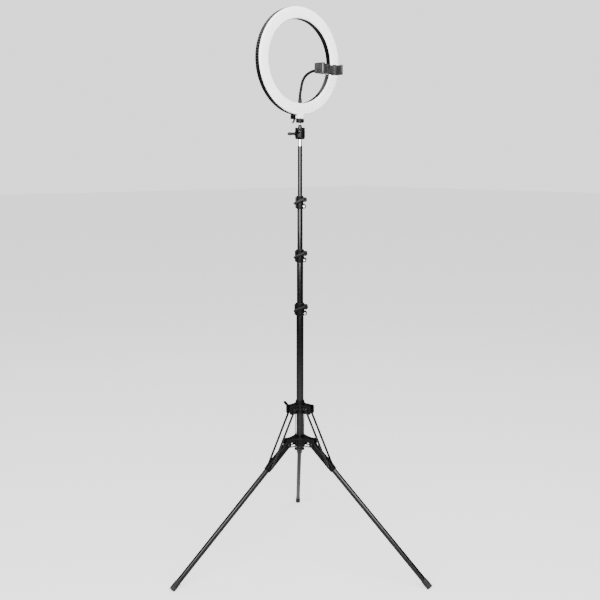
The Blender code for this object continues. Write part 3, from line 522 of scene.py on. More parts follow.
def make_clamp(index):
    """A split clamp collar with its two bosses, the bolt, and the lever on its axle."""
    body = ("stand", "mast_section_1", "mast_section_2")[index - 1]
    lower, upper = TUBE_RADII[index - 1], TUBE_RADII[index]
    reach = CLAMP_REACHES[index - 1]
    outer = lower + CLAMP_WALL
    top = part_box(f"clamp_collar_{index}")[1].z
    seat = STAND @ move(z=top) @ turn(z=CLAMP_AZIMUTH)
    across = turn(90)
    waist = outer - 0.0005
    profile = [(0, 0), (outer - 0.0006, 0), (outer, -0.0012), (outer, -0.0040), (waist, -0.0045)]
    profile += [(waist, -0.0180), (outer, -0.0185), (outer, -CLAMP_HEIGHT + 0.0012)]
    profile += [(outer - 0.0012, -CLAMP_HEIGHT), (0, -CLAMP_HEIGHT)]
    collar = lathe(eased(profile, 0.0005), 96)
    bolt_x = lower + 0.0032
    lever_x = reach - 0.0062
    half = BOSS_HEIGHT / 2
    upper_boss = rounded((0, UPPER_BOSS - half), (reach, UPPER_BOSS + half), 0.0045)
    lower_boss = rounded((0, LOWER_BOSS - half), (bolt_x + half, LOWER_BOSS + half), 0.0060)
    spine = rounded((-outer - SPINE_REACH, -CLAMP_HEIGHT + 0.002), (-lower, -0.003), 0.0030)
    bosses = [
        placed(plate([upper_boss], 2 * CLAMP_FRONT, 0.0007), across),
        placed(plate([lower_boss], 2 * CLAMP_FRONT, 0.0009), across),
        placed(plate([spine], SPINE_WIDTH, 0.0012), across),
    ]
    below, above, split = -0.060, 0.020, 0.0012
    cuts = [
        rod(lower + GAP, below, -CLAMP_SHOULDER, 80),
        rod(upper + 0.0004, below, above, 80),
        block((0, -split, below), (0.040, split, above), 0),
        placed(rod(0.0018, -0.02, 0.02, 32), move(bolt_x, 0, LOWER_BOSS), across),
        placed(rod(0.0025, -0.02, 0.02, 32), move(lever_x, 0, UPPER_BOSS), across),
    ]
    collar = combined(collar, bosses, cuts)
    show(f"clamp_{index}_split_collar", placed(collar, seat), "black_plastic", body, f"clamp_collar_{index}")

    front = CLAMP_FRONT + GAP
    head, shank, hex_key = 0.0033, 0.0014, 0.0017
    profile = [(0, front + 0.0016), (hex_key, front + 0.0016), (hex_key, front + 0.0020)]
    profile += [(head * 0.8, front + 0.0020), (head, front + 0.0012), (head, front)]
    profile += [(shank, front), (shank, -front - 0.0015), (0, -front - 0.0015)]
    bolt = placed(lathe(eased(profile, 0.0003), 40), seat, move(bolt_x, 0, LOWER_BOSS), across)
    show(f"clamp_{index}_bolt_turned", bolt, "zinc_steel", body, f"clamp_bolt_{index}")

    arm_back = outer + 0.0006
    arm_front = arm_back + 0.0045
    disc, axle = 0.0066, 0.0021
    profile = [(0, arm_front - 0.0004), (0.0030, arm_front - 0.0004), (0.0034, arm_front)]
    profile += [(disc - 0.0010, arm_front), (disc, arm_front - 0.0010), (disc, front + 0.0002)]
    profile += [(axle, front + 0.0002), (axle, -CLAMP_FRONT), (0, -CLAMP_FRONT)]
    hub = placed(lathe(eased(profile, 0.0004), 64), across)
    root = (-0.0010, 0.0020)
    tip = (-0.0190 - lever_x, -0.0125)
    angle = math.degrees(math.atan2(tip[1] - root[1], tip[0] - root[0]))
    span = math.dist(root, tip)
    end = 0.0036
    outline = [(-0.002, -0.0046), (span * 0.45, -0.0047), (span * 0.75, -0.0048)]
    outline += arc(span - end, -0.0004, end, -60, 90, 12)
    outline += [(span * 0.55, 0.0044), (-0.002, 0.0036)]
    arm = plate([outline], arm_front - arm_back - 0.0004, 0.0009)
    arm = placed(arm, move(root[0], -(arm_front + arm_back) / 2, root[1]), turn(90, -angle, 0))
    lever = placed(combined(hub, [arm]), seat, move(lever_x, 0, UPPER_BOSS))
    show(f"clamp_{index}_flip_lever", lever, "black_plastic", f"lever_{index}", f"clamp_lever_{index}")


# Hubs, legs and braces

def leg_azimuth(index):
    axis = JOINTS[f"leg_{index}_fold"]["axis"]
    return math.degrees(math.atan2(axis[0], -axis[1]))


def three_arm_web(tip, root, half_width, waist, steps=16):
    """The outline of a hub's web: three arms, straight from tip to root, with concave sides between them."""
    outline = []
    for index in LEGS:
        arm = math.radians(leg_azimuth(index))
        for side in (-1, 1):
            spread = side * math.atan2(half_width, tip)
            reach = math.hypot(tip, half_width)
            outline.append((reach * math.cos(arm + spread), reach * math.sin(arm + spread)))
        spread = math.atan2(half_width, root)
        reach = math.hypot(root, half_width)
        start = arm + spread
        end = arm + math.radians(120) - spread
        for i in range(steps + 1):
            share = i / steps
            radius = waist + (reach - waist) * (2 * share - 1) ** 2
            angle = start + (end - start) * share
            outline.append((radius * math.cos(angle), radius * math.sin(angle)))
    return outline


def hub_sides(low, high, near, far, inner, thickness, hinge, hole, window):
    """The upright plates of a hub, a pair to each arm, each with its hinge hole and a window."""
    hinge_r, hinge_z = hinge
    made = []
    for index in LEGS:
        for side in (1, -1):
            outline = rounded((near, low - hinge_z), (far, high - hinge_z), 0.0045)
            loops = [outline, circle(hinge_r, 0, hole), rounded(*window, 0.0030)]
            lateral = side * (inner + thickness / 2)
            made.append(placed(
                plate(loops, thickness, 0.0005),
                STAND, turn(z=leg_azimuth(index)), move(0, lateral, hinge_z), turn(90),
            ))
    return made


def make_lower_hub():
    """The fixed hub at the column's foot. Gives back the radius and height of its leg hinges."""
    low, high = heights("lower_hub")
    low += 0.0005
    bore = TUBE_RADII[0] + GAP
    core = 0.0165
    hinge = joint_spot("leg_1_fold") - Vector((AXIS_X, AXIS_Y, 0))
    hinge_r, hinge_z = math.hypot(hinge.x, hinge.y), hinge.z
    hub = placed(sleeve([(core, high), (core, low), (bore, low), (bore, high)], 0.0006), STAND)
    half = EAR_INNER + EAR_THICKNESS - 0.0002
    web = plate([three_arm_web(0.0345, 0.0320, half, 0.0240), circle(0, 0, bore + 0.002, 64)], 0.0036, 0.0005)
    window = ((0.0196, -0.0050), (0.0375, 0.0060))
    sides = hub_sides(
        low - 0.0005, high - 0.0002, 0.0105, 0.0535, EAR_INNER, EAR_THICKNESS,
        (hinge_r, hinge_z), LEG_PIN_R + GAP, window,
    )
    hub = combined(hub, [placed(web, STAND, move(z=high - 0.0022)), *sides])
    show("lower_hub_casting", hub, "black_plastic", "stand", "lower_hub")
    return hinge_r, hinge_z


def make_upper_hub():
    """The hub that slides on the column. Gives back the radius and height of its brace pins."""
    low, neck_top = heights("upper_hub")
    high = low + 0.0275
    bore = TUBE_RADII[0] + 0.0004
    top_r, top_z = 0.0265, low + 0.015
    neck = [(0.0135, neck_top), (0.0140, high - 0.002), (bore, high - 0.002), (bore, neck_top)]
    hub = placed(sleeve(neck, 0.0005), STAND)
    outline = three_arm_web(0.0355, 0.0285, LUG_OUTER - 0.0002, 0.0200)
    web = plate([outline, circle(0, 0, bore + 0.001, 64)], 0.0034, 0.0005)
    window = ((0.0125, -0.0110), (0.0215, 0.0035))
    sides = hub_sides(
        low + 0.0005, high - 0.0002, 0.0102, 0.0425, LUG_OUTER - LUG_THICKNESS, LUG_THICKNESS,
        (top_r, top_z), BRACE_PIN_R + GAP, window,
    )
    ring = [(0.0150, low + 0.004), (0.0150, low), (bore, low), (bore, low + 0.004)]
    ring = placed(sleeve(ring, 0.0005), STAND)
    knob_z = joint_spot("hub_knob_turn").z
    seat = STAND @ move(z=knob_z) @ turn(0, 90, HUB_KNOB_AZIMUTH)
    boss = placed(rod(0.0062, 0.0125, 0.0240, 64, 0.0006), seat)
    bore_tool = placed(rod(0.0034, 0.0080, 0.0300, 48), seat)
    hub = combined(hub, [placed(web, STAND, move(z=high - 0.0019)), *sides, ring, boss], [bore_tool])
    show("upper_hub_casting", hub, "black_plastic", "carriage", "upper_hub")
    return top_r, top_z


def make_hub_knob():
    seat = Matrix.Translation(joint_spot("hub_knob_turn")) @ turn(0, 0, HUB_KNOB_AZIMUTH)
    screw, grip, tall, deep = 0.0029, 0.0058, 0.0150, -0.0126
    profile = [(0, tall), (grip - 0.0010, tall), (grip, tall - 0.0015), (grip, 0.0010), (0.0050, 0)]
    profile += [(screw, 0), (screw, deep), (0, deep)]
    core = placed(lathe(eased(profile, 0.0005), 64), turn(0, 90, 0))
    outline = rounded((0, -0.006), (0.0262, 0.006), 0.0045)
    wing = placed(plate([outline], 0.0032, 0.0010), move(0.0125, 0, -0.0020), turn(0, -42, 0))
    knob = placed(combined(core, [wing]), seat)
    show("hub_wing_screw", knob, "black_plastic", "hub_knob", "hub_wing_knob")


def rivet(radius, half, head, depth):
    """A pin along Z with a domed head at each end."""
    top = [(0, half + depth), (head * 0.45, half + depth), (head * 0.85, half + depth * 0.6), (head, half)]
    top.append((radius, half))
    return lathe(eased([*top, *((r, -z) for r, z in reversed(top))], 0.0003), 40)


def leg_section(grow, corner):
    """The outline of a leg's oval tube, moved out all round."""
    deep, wide = LEG_DEPTH / 2 + grow, LEG_WIDTH / 2 + grow
    return rounded((-deep, -wide), (deep, wide), corner, 10)


def make_leg(index, hinge_r, hinge_z, slope, length, brace_on_leg):
    """A leg's bracket, oval tube and rubber boot, with the rivets of its hinge and its braces."""
    level = STAND @ turn(z=leg_azimuth(index)) @ move(hinge_r, 0, hinge_z)
    leg = level @ turn(0, slope, 0)
    across = turn(90)
    body = f"leg_{index}"
    pin = rivet(LEG_PIN_R, EAR_INNER + EAR_THICKNESS + GAP, 0.0046, 0.0014)
    show(f"leg_{index}_hinge_rivet", placed(pin, level @ across), "black_enamel", "stand", f"leg_pin_{index}")

    half = BRACKET_DEPTH / 2
    taper = BRACKET_LENGTH - 0.012
    outline = [*arc(0, 0, half, 90, 270, 24), (taper, -half), (BRACKET_LENGTH, -half + 0.0010)]
    outline += [(BRACKET_LENGTH, half - 0.0010), (taper, half)]
    loops = [outline, circle(0, 0, 0.0030), circle(brace_on_leg, 0, BRACE_HOLE_R)]
    bracket = placed(plate(loops, BRACKET_WIDTH, 0.0014), across)
    start = 0.0150
    room = block(
        (start - GAP, -LEG_WIDTH / 2 - GAP, -LEG_DEPTH / 2 - GAP),
        (BRACKET_LENGTH + 0.010, LEG_WIDTH / 2 + GAP, LEG_DEPTH / 2 + GAP), 0,
    )
    grooves = []
    for side in (1, -1):
        face = side * BRACKET_WIDTH / 2
        grooves.append(block((0.0105, face - 0.0005, -0.0046), (0.0585, face + 0.0005, 0.0046), 0.0003))
    reach = BRACE_INNER - GAP
    boss = placed(rod(BRACE_BOSS_R, -reach, reach, 48, 0.0004), move(brace_on_leg), across)
    bore = placed(rod(BRACE_HOLE_R, -0.016, 0.016, 40), move(brace_on_leg), across)
    bracket = combined(bracket, [boss], [room, bore, *grooves])
    show(f"leg_{index}_shoulder", placed(bracket, leg), "black_plastic", body, f"leg_bracket_{index}")

    along = turn(0, 90, 0)
    foot_top = length - FOOT_LENGTH
    shank_end = foot_top + FOOT_SOCKET - GAP
    sections = [leg_section(0, LEG_CORNER), leg_section(-LEG_WALL, LEG_CORNER - LEG_WALL)]
    tube = placed(plate(sections, shank_end - start, 0.0003), move((start + shank_end) / 2), along)
    show(f"leg_{index}_drawn_tube", placed(tube, leg), "leg_enamel", body, f"leg_tube_{index}")

    boot = plate([leg_section(FOOT_WALL, LEG_CORNER + 0.001)], FOOT_LENGTH, 0.0009)
    boot = placed(placed(boot, move(length - FOOT_LENGTH / 2), along), leg)
    socket = plate([leg_section(GAP, LEG_CORNER)], 2 * FOOT_SOCKET, 0.0001)
    socket = placed(placed(socket, move(foot_top), along), leg)
    ground = placed(block((-0.6, -0.6, -0.1), (0.6, 0.6, 0), 0), STAND)
    rings = []
    for i in range(4):
        sections = [leg_section(0.002, LEG_CORNER + 0.0018), leg_section(0.0009, LEG_CORNER + 0.0007)]
        spot = move(foot_top + 0.0045 + i * 0.0035)
        rings.append(placed(plate(sections, 0.0008, 0.0001), leg, spot, along))
    boot = combined(boot, cuts=[socket, ground, *rings])
    show(f"leg_{index}_rubber_boot", boot, "rubber", body, f"leg_foot_{index}")

    brace_pin = rivet(BRACE_PIN_R, BRACE_INNER + BRACE_THICKNESS + GAP, 0.0040, 0.0012)
    brace_pin = placed(brace_pin, leg, move(brace_on_leg), across)
    show(f"leg_{index}_brace_rivet", brace_pin, "black_enamel", body, f"brace_pin_{index}")


def make_braces(index, hinge, slope, brace_on_leg, top):
    """The two stamped bars of a leg's brace, each with a rolled swage and its rivet at the upper hub."""
    hinge_r, hinge_z = hinge
    top_r, top_z = top
    tilt = math.radians(slope)
    foot_r = hinge_r + brace_on_leg * math.cos(tilt)
    foot_z = hinge_z - brace_on_leg * math.sin(tilt)
    length = math.hypot(top_r - foot_r, top_z - foot_z)
    rise = math.degrees(math.atan2(top_z - foot_z, top_r - foot_r))
    brace = STAND @ turn(z=leg_azimuth(index)) @ move(foot_r, 0, foot_z) @ turn(0, -rise, 0)
    flare = math.degrees(math.asin(BRACE_HALF_WIDTH / BRACE_END))
    outline = arc(0, 0, BRACE_END, flare, 360 - flare, 24)
    outline += arc(length, 0, BRACE_END, 180 + flare, 540 - flare, 24)
    swage = rounded((0.012, -0.0013), (length - 0.012, 0.0013), 0.00125, 5)
    for side, word in ((1, "left"), (-1, "right")):
        bar = plate([outline, circle(0, 0, BRACE_HOLE_R), circle(length, 0, 0.0010)], BRACE_THICKNESS, 0.0005)
        bar = placed(bar, turn(90))
        tool = placed(plate([swage], 0.0010, 0.0003), move(0, -side * BRACE_THICKNESS / 2, 0), turn(90))
        bar = combined(bar, cuts=[placed(tool, Matrix.Scale(-1, 4, (0, 1, 0)))])
        bar = placed(bar, brace, move(0, side * (BRACE_INNER + BRACE_THICKNESS / 2), 0))
        show(f"brace_{index}_bar_{word}", bar, "leg_enamel", f"braces_{index}", f"brace_{index}_{word}")
        face = side * (BRACE_INNER + BRACE_THICKNESS)
        dome = [(0, 0.0010), (0.0020, 0.0010), (0.0034, 0.0004), (0.0036, -0.0003), (0, -0.0003)]
        head = placed(lathe(eased(dome, 0.0003), 40), brace, move(length, face, 0), turn(-90 * side, 0, 0))
        show(f"brace_{index}_rivet_{word}", head, "black_enamel", f"braces_{index}")


def make_folding_stand():
    """The two hubs, then each leg with its braces, from the hinges out to the feet."""
    hinge = make_lower_hub()
    top = make_upper_hub()
    make_hub_knob()
    run, drop = FOOT_REACH - hinge[0], hinge[1] - FOOT_Z
    slope = math.degrees(math.atan2(drop, run))
    length = math.hypot(drop, run)
    brace_on_leg = (joint_spot("braces_1_fold") - joint_spot("leg_1_fold")).length
    for index in LEGS:
        make_leg(index, *hinge, slope, length, brace_on_leg)
        make_braces(index, hinge, slope, brace_on_leg, top)


# Head

def make_stud():
    """The bright spigot on the top tube, with its thread up in the ball head."""
    low, high = heights("mast_stud")
    plug = TUBE_RADII[3] - TUBE_WALL - GAP
    base = heights("mast_tube_3")[1] + GAP
    bottom = heights("ball_housing")[0]
    thread = []
    turns = 12
    pitch = (high - bottom) / turns
    root = THREAD_R - THREAD_DEPTH
    for i in range(turns):
        z = high - 0.0004 - i * pitch
        thread += [(THREAD_R, z - pitch * 0.1), (THREAD_R, z - pitch * 0.35), (root, z - pitch * 0.6)]
    neck, flange = 0.0050, 0.0064
    profile = [(0, high), (THREAD_R - 0.0006, high), *thread, (THREAD_R, bottom - GAP)]
    profile += [(neck - 0.0002, bottom - GAP), (neck, bottom - 0.0010), (neck, base + 0.0030)]
    profile += [(flange, base + 0.0022), (flange, base), (plug, base), (plug, low), (0, low)]
    stud = placed(lathe(eased(profile, 0.0003), 72), STAND)
    show("mast_spigot", stud, "chrome", "mast_section_3", "mast_stud")


def make_ball_head():
    """The ball head's cup with its notch and knob boss, and the lock knob beside it."""
    low, high = (height - BALL_Z for height in heights("ball_housing"))
    head = STAND @ move(z=BALL_Z)
    cup = BALL_R + 0.0004
    outer, groove = HOUSING_R, HOUSING_R - 0.0005
    socket = THREAD_R + 0.0004
    profile = [(0, high), (outer - 0.0012, high), (outer, high - 0.0012), (outer, high - 0.0052)]
    profile += [(groove, high - 0.0056), (groove, high - 0.0066), (outer, high - 0.0070)]
    profile += [(outer, low + 0.0060), (groove, low + 0.0056), (groove, low + 0.0048)]
    profile += [(outer, low + 0.0044), (outer, low + 0.0034), (outer - 0.0015, low + 0.0010)]
    profile += [(outer - 0.0030, low)]
    profile += [(socket, low), (socket, low + 0.0078), (0, low + 0.0078)]
    housing = lathe(eased(profile, 0.0005), 96)
    cavity = [(0, high + 0.001), (0.0132, high + 0.001), (0.0128, high)]
    cavity += [point for point in arc(0, 0, cup, 35, -80, 18) if point[0] > 0.0005] + [(0, -cup)]
    notch_half = NECK_R + GAP
    notch = block((0.002, -notch_half + 0.00005, 0), (0.030, notch_half - 0.00005, 0.030), 0)
    knob_height = joint_spot("ball_knob_turn").z - BALL_Z
    knob_seat = move(z=knob_height) @ turn(0, 90, KNOB_AZIMUTH)
    cuts = [
        lathe(cavity, 80),
        placed(rod(notch_half, 0.002, 0.030, 64), turn(0, 90, NOTCH_AZIMUTH)),
        placed(notch, turn(z=NOTCH_AZIMUTH)),
    ]
    housing = combined(housing, cuts=cuts)
    boss = placed(rod(0.0052, 0.0118, 0.0170, 64, 0.0005), knob_seat)
    housing = combined(housing, [boss], [placed(rod(0.0028, 0.0110, 0.0200, 48), knob_seat)])
    show("ball_cup", placed(housing, head), "black_plastic", "ball_head", "ball_housing")

    seat = Matrix.Translation(joint_spot("ball_knob_turn")) @ turn(z=KNOB_AZIMUTH)
    tall, deep, screw = 0.0085, -0.0046, 0.0024
    profile = [(0, tall), (0.0026, tall), (0.0036, tall - 0.0015), (0.0040, 0.0005), (0.0036, 0)]
    profile += [(screw, 0), (screw, deep), (0, deep)]
    core = placed(lathe(eased(profile, 0.0008), 64), turn(0, 90, 0))
    leaf = [(0.0010, 0.0024), (0.0060, 0.0036), (0.0110, 0.0050)]
    leaf += [(0.0150, 0.0046), (0.0178, 0.0034), (0.0190, 0.0014)]
    outline = [(reach, -half) for reach, half in leaf] + [(reach, half) for reach, half in reversed(leaf)]
    paddle = placed(plate([eased(outline, 0.0012, closed=True)], 0.0040, 0.0012), turn(90))
    knob = placed(combined(core, [paddle]), seat)
    show("ball_wing_screw", knob, "black_plastic", "ball_knob", "ball_lock_knob")


def make_ball():
    """The black ball and its neck, the bright thread above it, and the knurled lock disc."""
    top = heights("ball_stem")[1] - BALL_Z
    neck_low, neck_high = NECK_Z[0] - BALL_Z, NECK_Z[1] - BALL_Z
    angle = math.degrees(math.acos(NECK_R / BALL_R))
    profile = [(0, neck_high), (THREAD_R + 0.0005, neck_high), (NECK_R, neck_low)]
    profile = eased([*profile, arc(0, 0, BALL_R, angle, angle - 1, 1)[0]], 0.0012)
    profile += [*arc(0, 0, BALL_R, angle, -75, 24)[1:], (0, -BALL_R)]
    ball = placed(lathe(profile, 64), STAND, move(z=BALL_Z))
    show("ball_and_neck", ball, "black_enamel", "ball", "ball_stem")
    pitch = 0.0012
    thread = []
    z = top - 0.0010
    while z > neck_high + pitch:
        thread += [(THREAD_R, z), (THREAD_R, z - pitch * 0.25), (THREAD_R - THREAD_DEPTH, z - pitch * 0.62)]
        z -= pitch
    foot = neck_high - 0.0010
    profile = [(0, top), (THREAD_R - 0.0006, top), *thread, (THREAD_R, foot), (0, foot)]
    show("ball_threaded_stem", placed(lathe(profile, 64), STAND, move(z=BALL_Z)), "zinc_steel", "ball")

    low, high = heights("lock_ring")
    tall = high - low
    bore = THREAD_R + 0.0004
    rim = LOCK_RING_R
    outline = [(rim - 0.0010, tall), (rim, tall - 0.0010), (rim, 0.0015), (rim - 0.0015, 0)]
    profile = eased([*outline, (bore, 0), (bore, tall)], 0.0004, closed=True)
    grip = [0.0012 < height < tall - 0.0008 and radius > rim - 0.0005 for radius, height in profile]

    def knurl(step, i):
        return -0.00045 if grip[i] and step % 6 in (0, 1) else 0

    disc = lathe(profile, 360, closed=True, wobble=knurl)
    show("lock_disc_knurled", placed(disc, STAND, move(z=low)), "black_plastic", "lock_disc", "lock_ring")


# Lamp

def make_lamp():
    """The ring's black shell, ribbed round its rim, and the milky face with the front of its foot."""
    low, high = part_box("ring_housing")
    centre_z = (low.z + high.z) / 2
    outer = (high.x - low.x) / 2
    rear = AXIS_Y - high.y
    front = AXIS_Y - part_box("ring_diffuser")[0].y
    inner = RING_INNER
    seam = RING_SEAM
    lamp = STAND @ move(z=centre_z) @ turn(90)
    edge = 0.0032
    shell = 0.002
    groove = 0.0005
    outline = [(outer, seam), (outer, rear + edge)]
    outline += [(outer - 0.0009, rear + 0.0010), (outer - edge, rear)]
    for middle in (outer - 0.0060, inner + 0.0060):
        outline += [(middle + 0.0007, rear), (middle + 0.0004, rear + groove)]
        outline += [(middle - 0.0004, rear + groove), (middle - 0.0007, rear)]
    outline += [(inner + edge, rear), (inner + 0.0009, rear + 0.0010), (inner, rear + edge), (inner, seam)]
    outline += [(inner + shell, seam), (inner + shell, rear + edge + 0.0006)]
    outline += [(inner + edge + 0.0008, rear + shell), (outer - edge - 0.0008, rear + shell)]
    outline += [(outer - shell, rear + edge + 0.0006), (outer - shell, seam)]
    profile = eased(outline, 0.0007, closed=True, steps=3)
    rim = [point[0] > outer - 0.00005 for point in profile]
    per_rib = 8
    depth = {0: -0.0006, 1: -0.0013, 2: -0.0013, 3: -0.0006}

    def ribs(step, i):
        return depth.get(step % per_rib, 0) if rim[i] else 0

    housing = lathe(profile, RIB_COUNT * per_rib, closed=True, wobble=ribs)
    show("ring_ribbed_shell", placed(housing, lamp), "black_plastic", "lamp", "ring_housing")

    face = seam + GAP
    crown = (outer + inner) / 2
    step_in, wall = 0.0004, 0.0024
    profile = [(outer - step_in, front - 0.0030), (outer - step_in, face), (outer - wall, face)]
    profile += [(outer - 0.0028, front - 0.0036), (crown, front - 0.0020), (inner + 0.0028, front - 0.0036)]
    profile += [(inner + wall, face), (inner + step_in, face), (inner + step_in, front - 0.0030)]
    profile += [(inner + 0.0030, front - 0.0008), (crown, front), (outer - 0.0030, front - 0.0008)]
    diffuser = placed(lathe(eased(profile, 0.0022, closed=True, steps=6), 240, closed=True), lamp)
    foot_low = heights("ring_diffuser")[0]
    foot_top = low.z - GAP - 0.0001
    tongue_front = front - 0.0012
    half = 0.0100
    outline = rounded((-half, foot_low), (half, low.z + 0.0075), 0.003)
    tongue = plate([outline], tongue_front - face, 0.0008)
    tongue = placed(tongue, STAND, move(0, -(face + tongue_front) / 2, 0), turn(90))
    foot_start = (-half + 0.0001, -tongue_front + 0.0001, foot_low + 0.0001)
    foot = block(foot_start, (half - 0.0001, FOOT_BACK, foot_top), 0.0012)
    stud_room = rod(THREAD_R + 0.0004, foot_low - 0.002, heights("ball_stem")[1] + 0.0005, 48)
    diffuser = combined(diffuser, [tongue, placed(foot, STAND)], [placed(stud_room, STAND)])
    show("ring_diffuser_face", diffuser, "milky_plastic", "lamp", "ring_diffuser")


def make_mount():
    """The black rear half of the foot, which climbs the ring's back, and the power lead's strain relief."""
    low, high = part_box("mount_block")
    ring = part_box("ring_housing")
    half = (high.x - low.x) / 2
    front_y, back_y, ring_y = low.y - AXIS_Y, high.y - AXIS_Y, ring[1].y - AXIS_Y
    front_block = block((-half, front_y, low.z), (half, back_y, ring[0].z - 0.0004), 0.0014)
    back_low = (-half + 0.0002, ring_y + GAP, low.z + 0.001)
    back_block = block(back_low, (half - 0.0002, back_y - 0.0002, high.z), 0.0022, 4)
    screw_seat = rod(0.0022, back_y - 0.0008, back_y + 0.003, 32)
    screw_seat = placed(screw_seat, move(0, 0, ring[0].z + 0.0040), turn(-90))
    mount = combined(front_block, [back_block], [screw_seat])
    show("lamp_mount", placed(mount, STAND), "black_plastic", "lamp", "mount_block")

    start = GLAND_BACK
    route = [(start, low.z - GAP), (start, low.z - 0.0030), (start + 0.0013, low.z - 0.0060)]
    route += [(start + 0.0037, low.z - 0.0085), (start + 0.0070, low.z - 0.0098)]
    route = eased(route, 0.0016, steps=6)
    total = run_of(route)
    count = 72
    fine, radii = [], []
    for i in range(count + 1):
        mark = total * i / count
        share = mark / total
        groove = 0.00045 if 0.15 < share < 0.95 and int(share * 14) % 2 else 0
        fine.append(point_at(route, mark))
        radii.append(0.0031 - 0.0007 * share - groove)
    gland = placed(sweep(fine, radii, 32), STAND, turn(z=90))
    show("power_inlet_relief", gland, "rubber", "lamp", "cable_gland")


def run_of(points):
    """The length of a line of points."""
    return sum(math.dist(a, b) for a, b in zip(points, points[1:]))


def point_at(points, distance):
    """The point that far along a line of points."""
    for a, b in zip(points, points[1:]):
        step = math.dist(a, b)
        if distance <= step:
            share = distance / step if step else 0
            return tuple(p + (q - p) * share for p, q in zip(a, b))
        distance -= step
    return tuple(points[-1])


# Phone arm and holder

def arm_route(steps=12):
    """A smooth curve through the points of the phone arm's route."""
    fine = []
    count = len(ARM_ROUTE)
    for i in range(count - 1):
        before = ARM_ROUTE[max(i - 1, 0)]
        start, end = ARM_ROUTE[i], ARM_ROUTE[i + 1]
        after = ARM_ROUTE[min(i + 2, count - 1)]
        for step in range(steps):
            t = step / steps
            fine.append(tuple(
                0.5 * (2 * b + (c - a) * t + (2 * a - 5 * b + 4 * c - d) * t * t
                       + (3 * b - a - 3 * c + d) * t ** 3)
                for a, b, c, d in zip(before, start, end, after)
            ))
    fine.append(ARM_ROUTE[-1])
    return fine


def make_arm():
    """The gooseneck's ringed sleeve, blended over its two bends, with its end ball and its ferrule."""
    swing = STAND @ turn(z=ARM_AZIMUTH)
    fine = arm_route()
    total = run_of(fine)
    pitch = 0.0022
    groove = 0.00022
    count = 420
    line = [point_at(fine, total * i / count) for i in range(count + 1)]
    radii = []
    for i in range(count + 1):
        wave = math.sin(math.pi * total * i / count / pitch)
        radii.append(ARM_RADIUS - groove * (1 - abs(wave)) ** 2)
    bend_1, bend_2 = joint_spot("gooseneck_bend_1"), joint_spot("gooseneck_bend_2")

    def index_of(spot):
        """The line's point nearest to a height."""
        return min(range(count + 1), key=lambda i: abs(line[i][1] - spot.z))

    first, second = index_of(bend_1), index_of(bend_2)
    split = (first + second) // 2
    upper_nodes = ("gooseneck_middle", "gooseneck_upper")
    stretches = (
        ("gooseneck_sleeve_low", 0, split, "arm_lower", "arm_middle", first, ("gooseneck_lower",)),
        ("gooseneck_sleeve_high", split, count, "arm_middle", "arm_upper", second, upper_nodes),
    )
    for name, begin, end, near, far, bend, nodes in stretches:
        mesh = placed(sweep(line[begin:end + 1], radii[begin:end + 1], 28), swing)
        piece = show(name, mesh, "black_plastic", None, *nodes)
        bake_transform(piece)
    profile = [(0, HOLDER_BALL_R), *arc(0, 0, HOLDER_BALL_R, 80, -80, 32), (0, -HOLDER_BALL_R)]
    ball = placed(lathe(profile, 48), Matrix.Translation(joint_spot("holder_tilt")))
    show("gooseneck_end_ball", ball, "black_plastic", "arm_upper")

    base_z = ARM_ROUTE[0][1]
    low = heights("gooseneck_ferrule")[0] - base_z
    flare = 0.0057
    profile = [(0, -GAP), (0.0040, -GAP), (0.0044, -0.0008), (0.0046, -0.0030), (0.0050, -0.0035)]
    profile += [(flare, low + 0.0020), (flare, low), (0, low)]
    ferrule = placed(lathe(eased(profile, 0.0008), 64), STAND, move(z=base_z))
    show("gooseneck_flared_ferrule", ferrule, "black_plastic", "lamp", "gooseneck_ferrule")


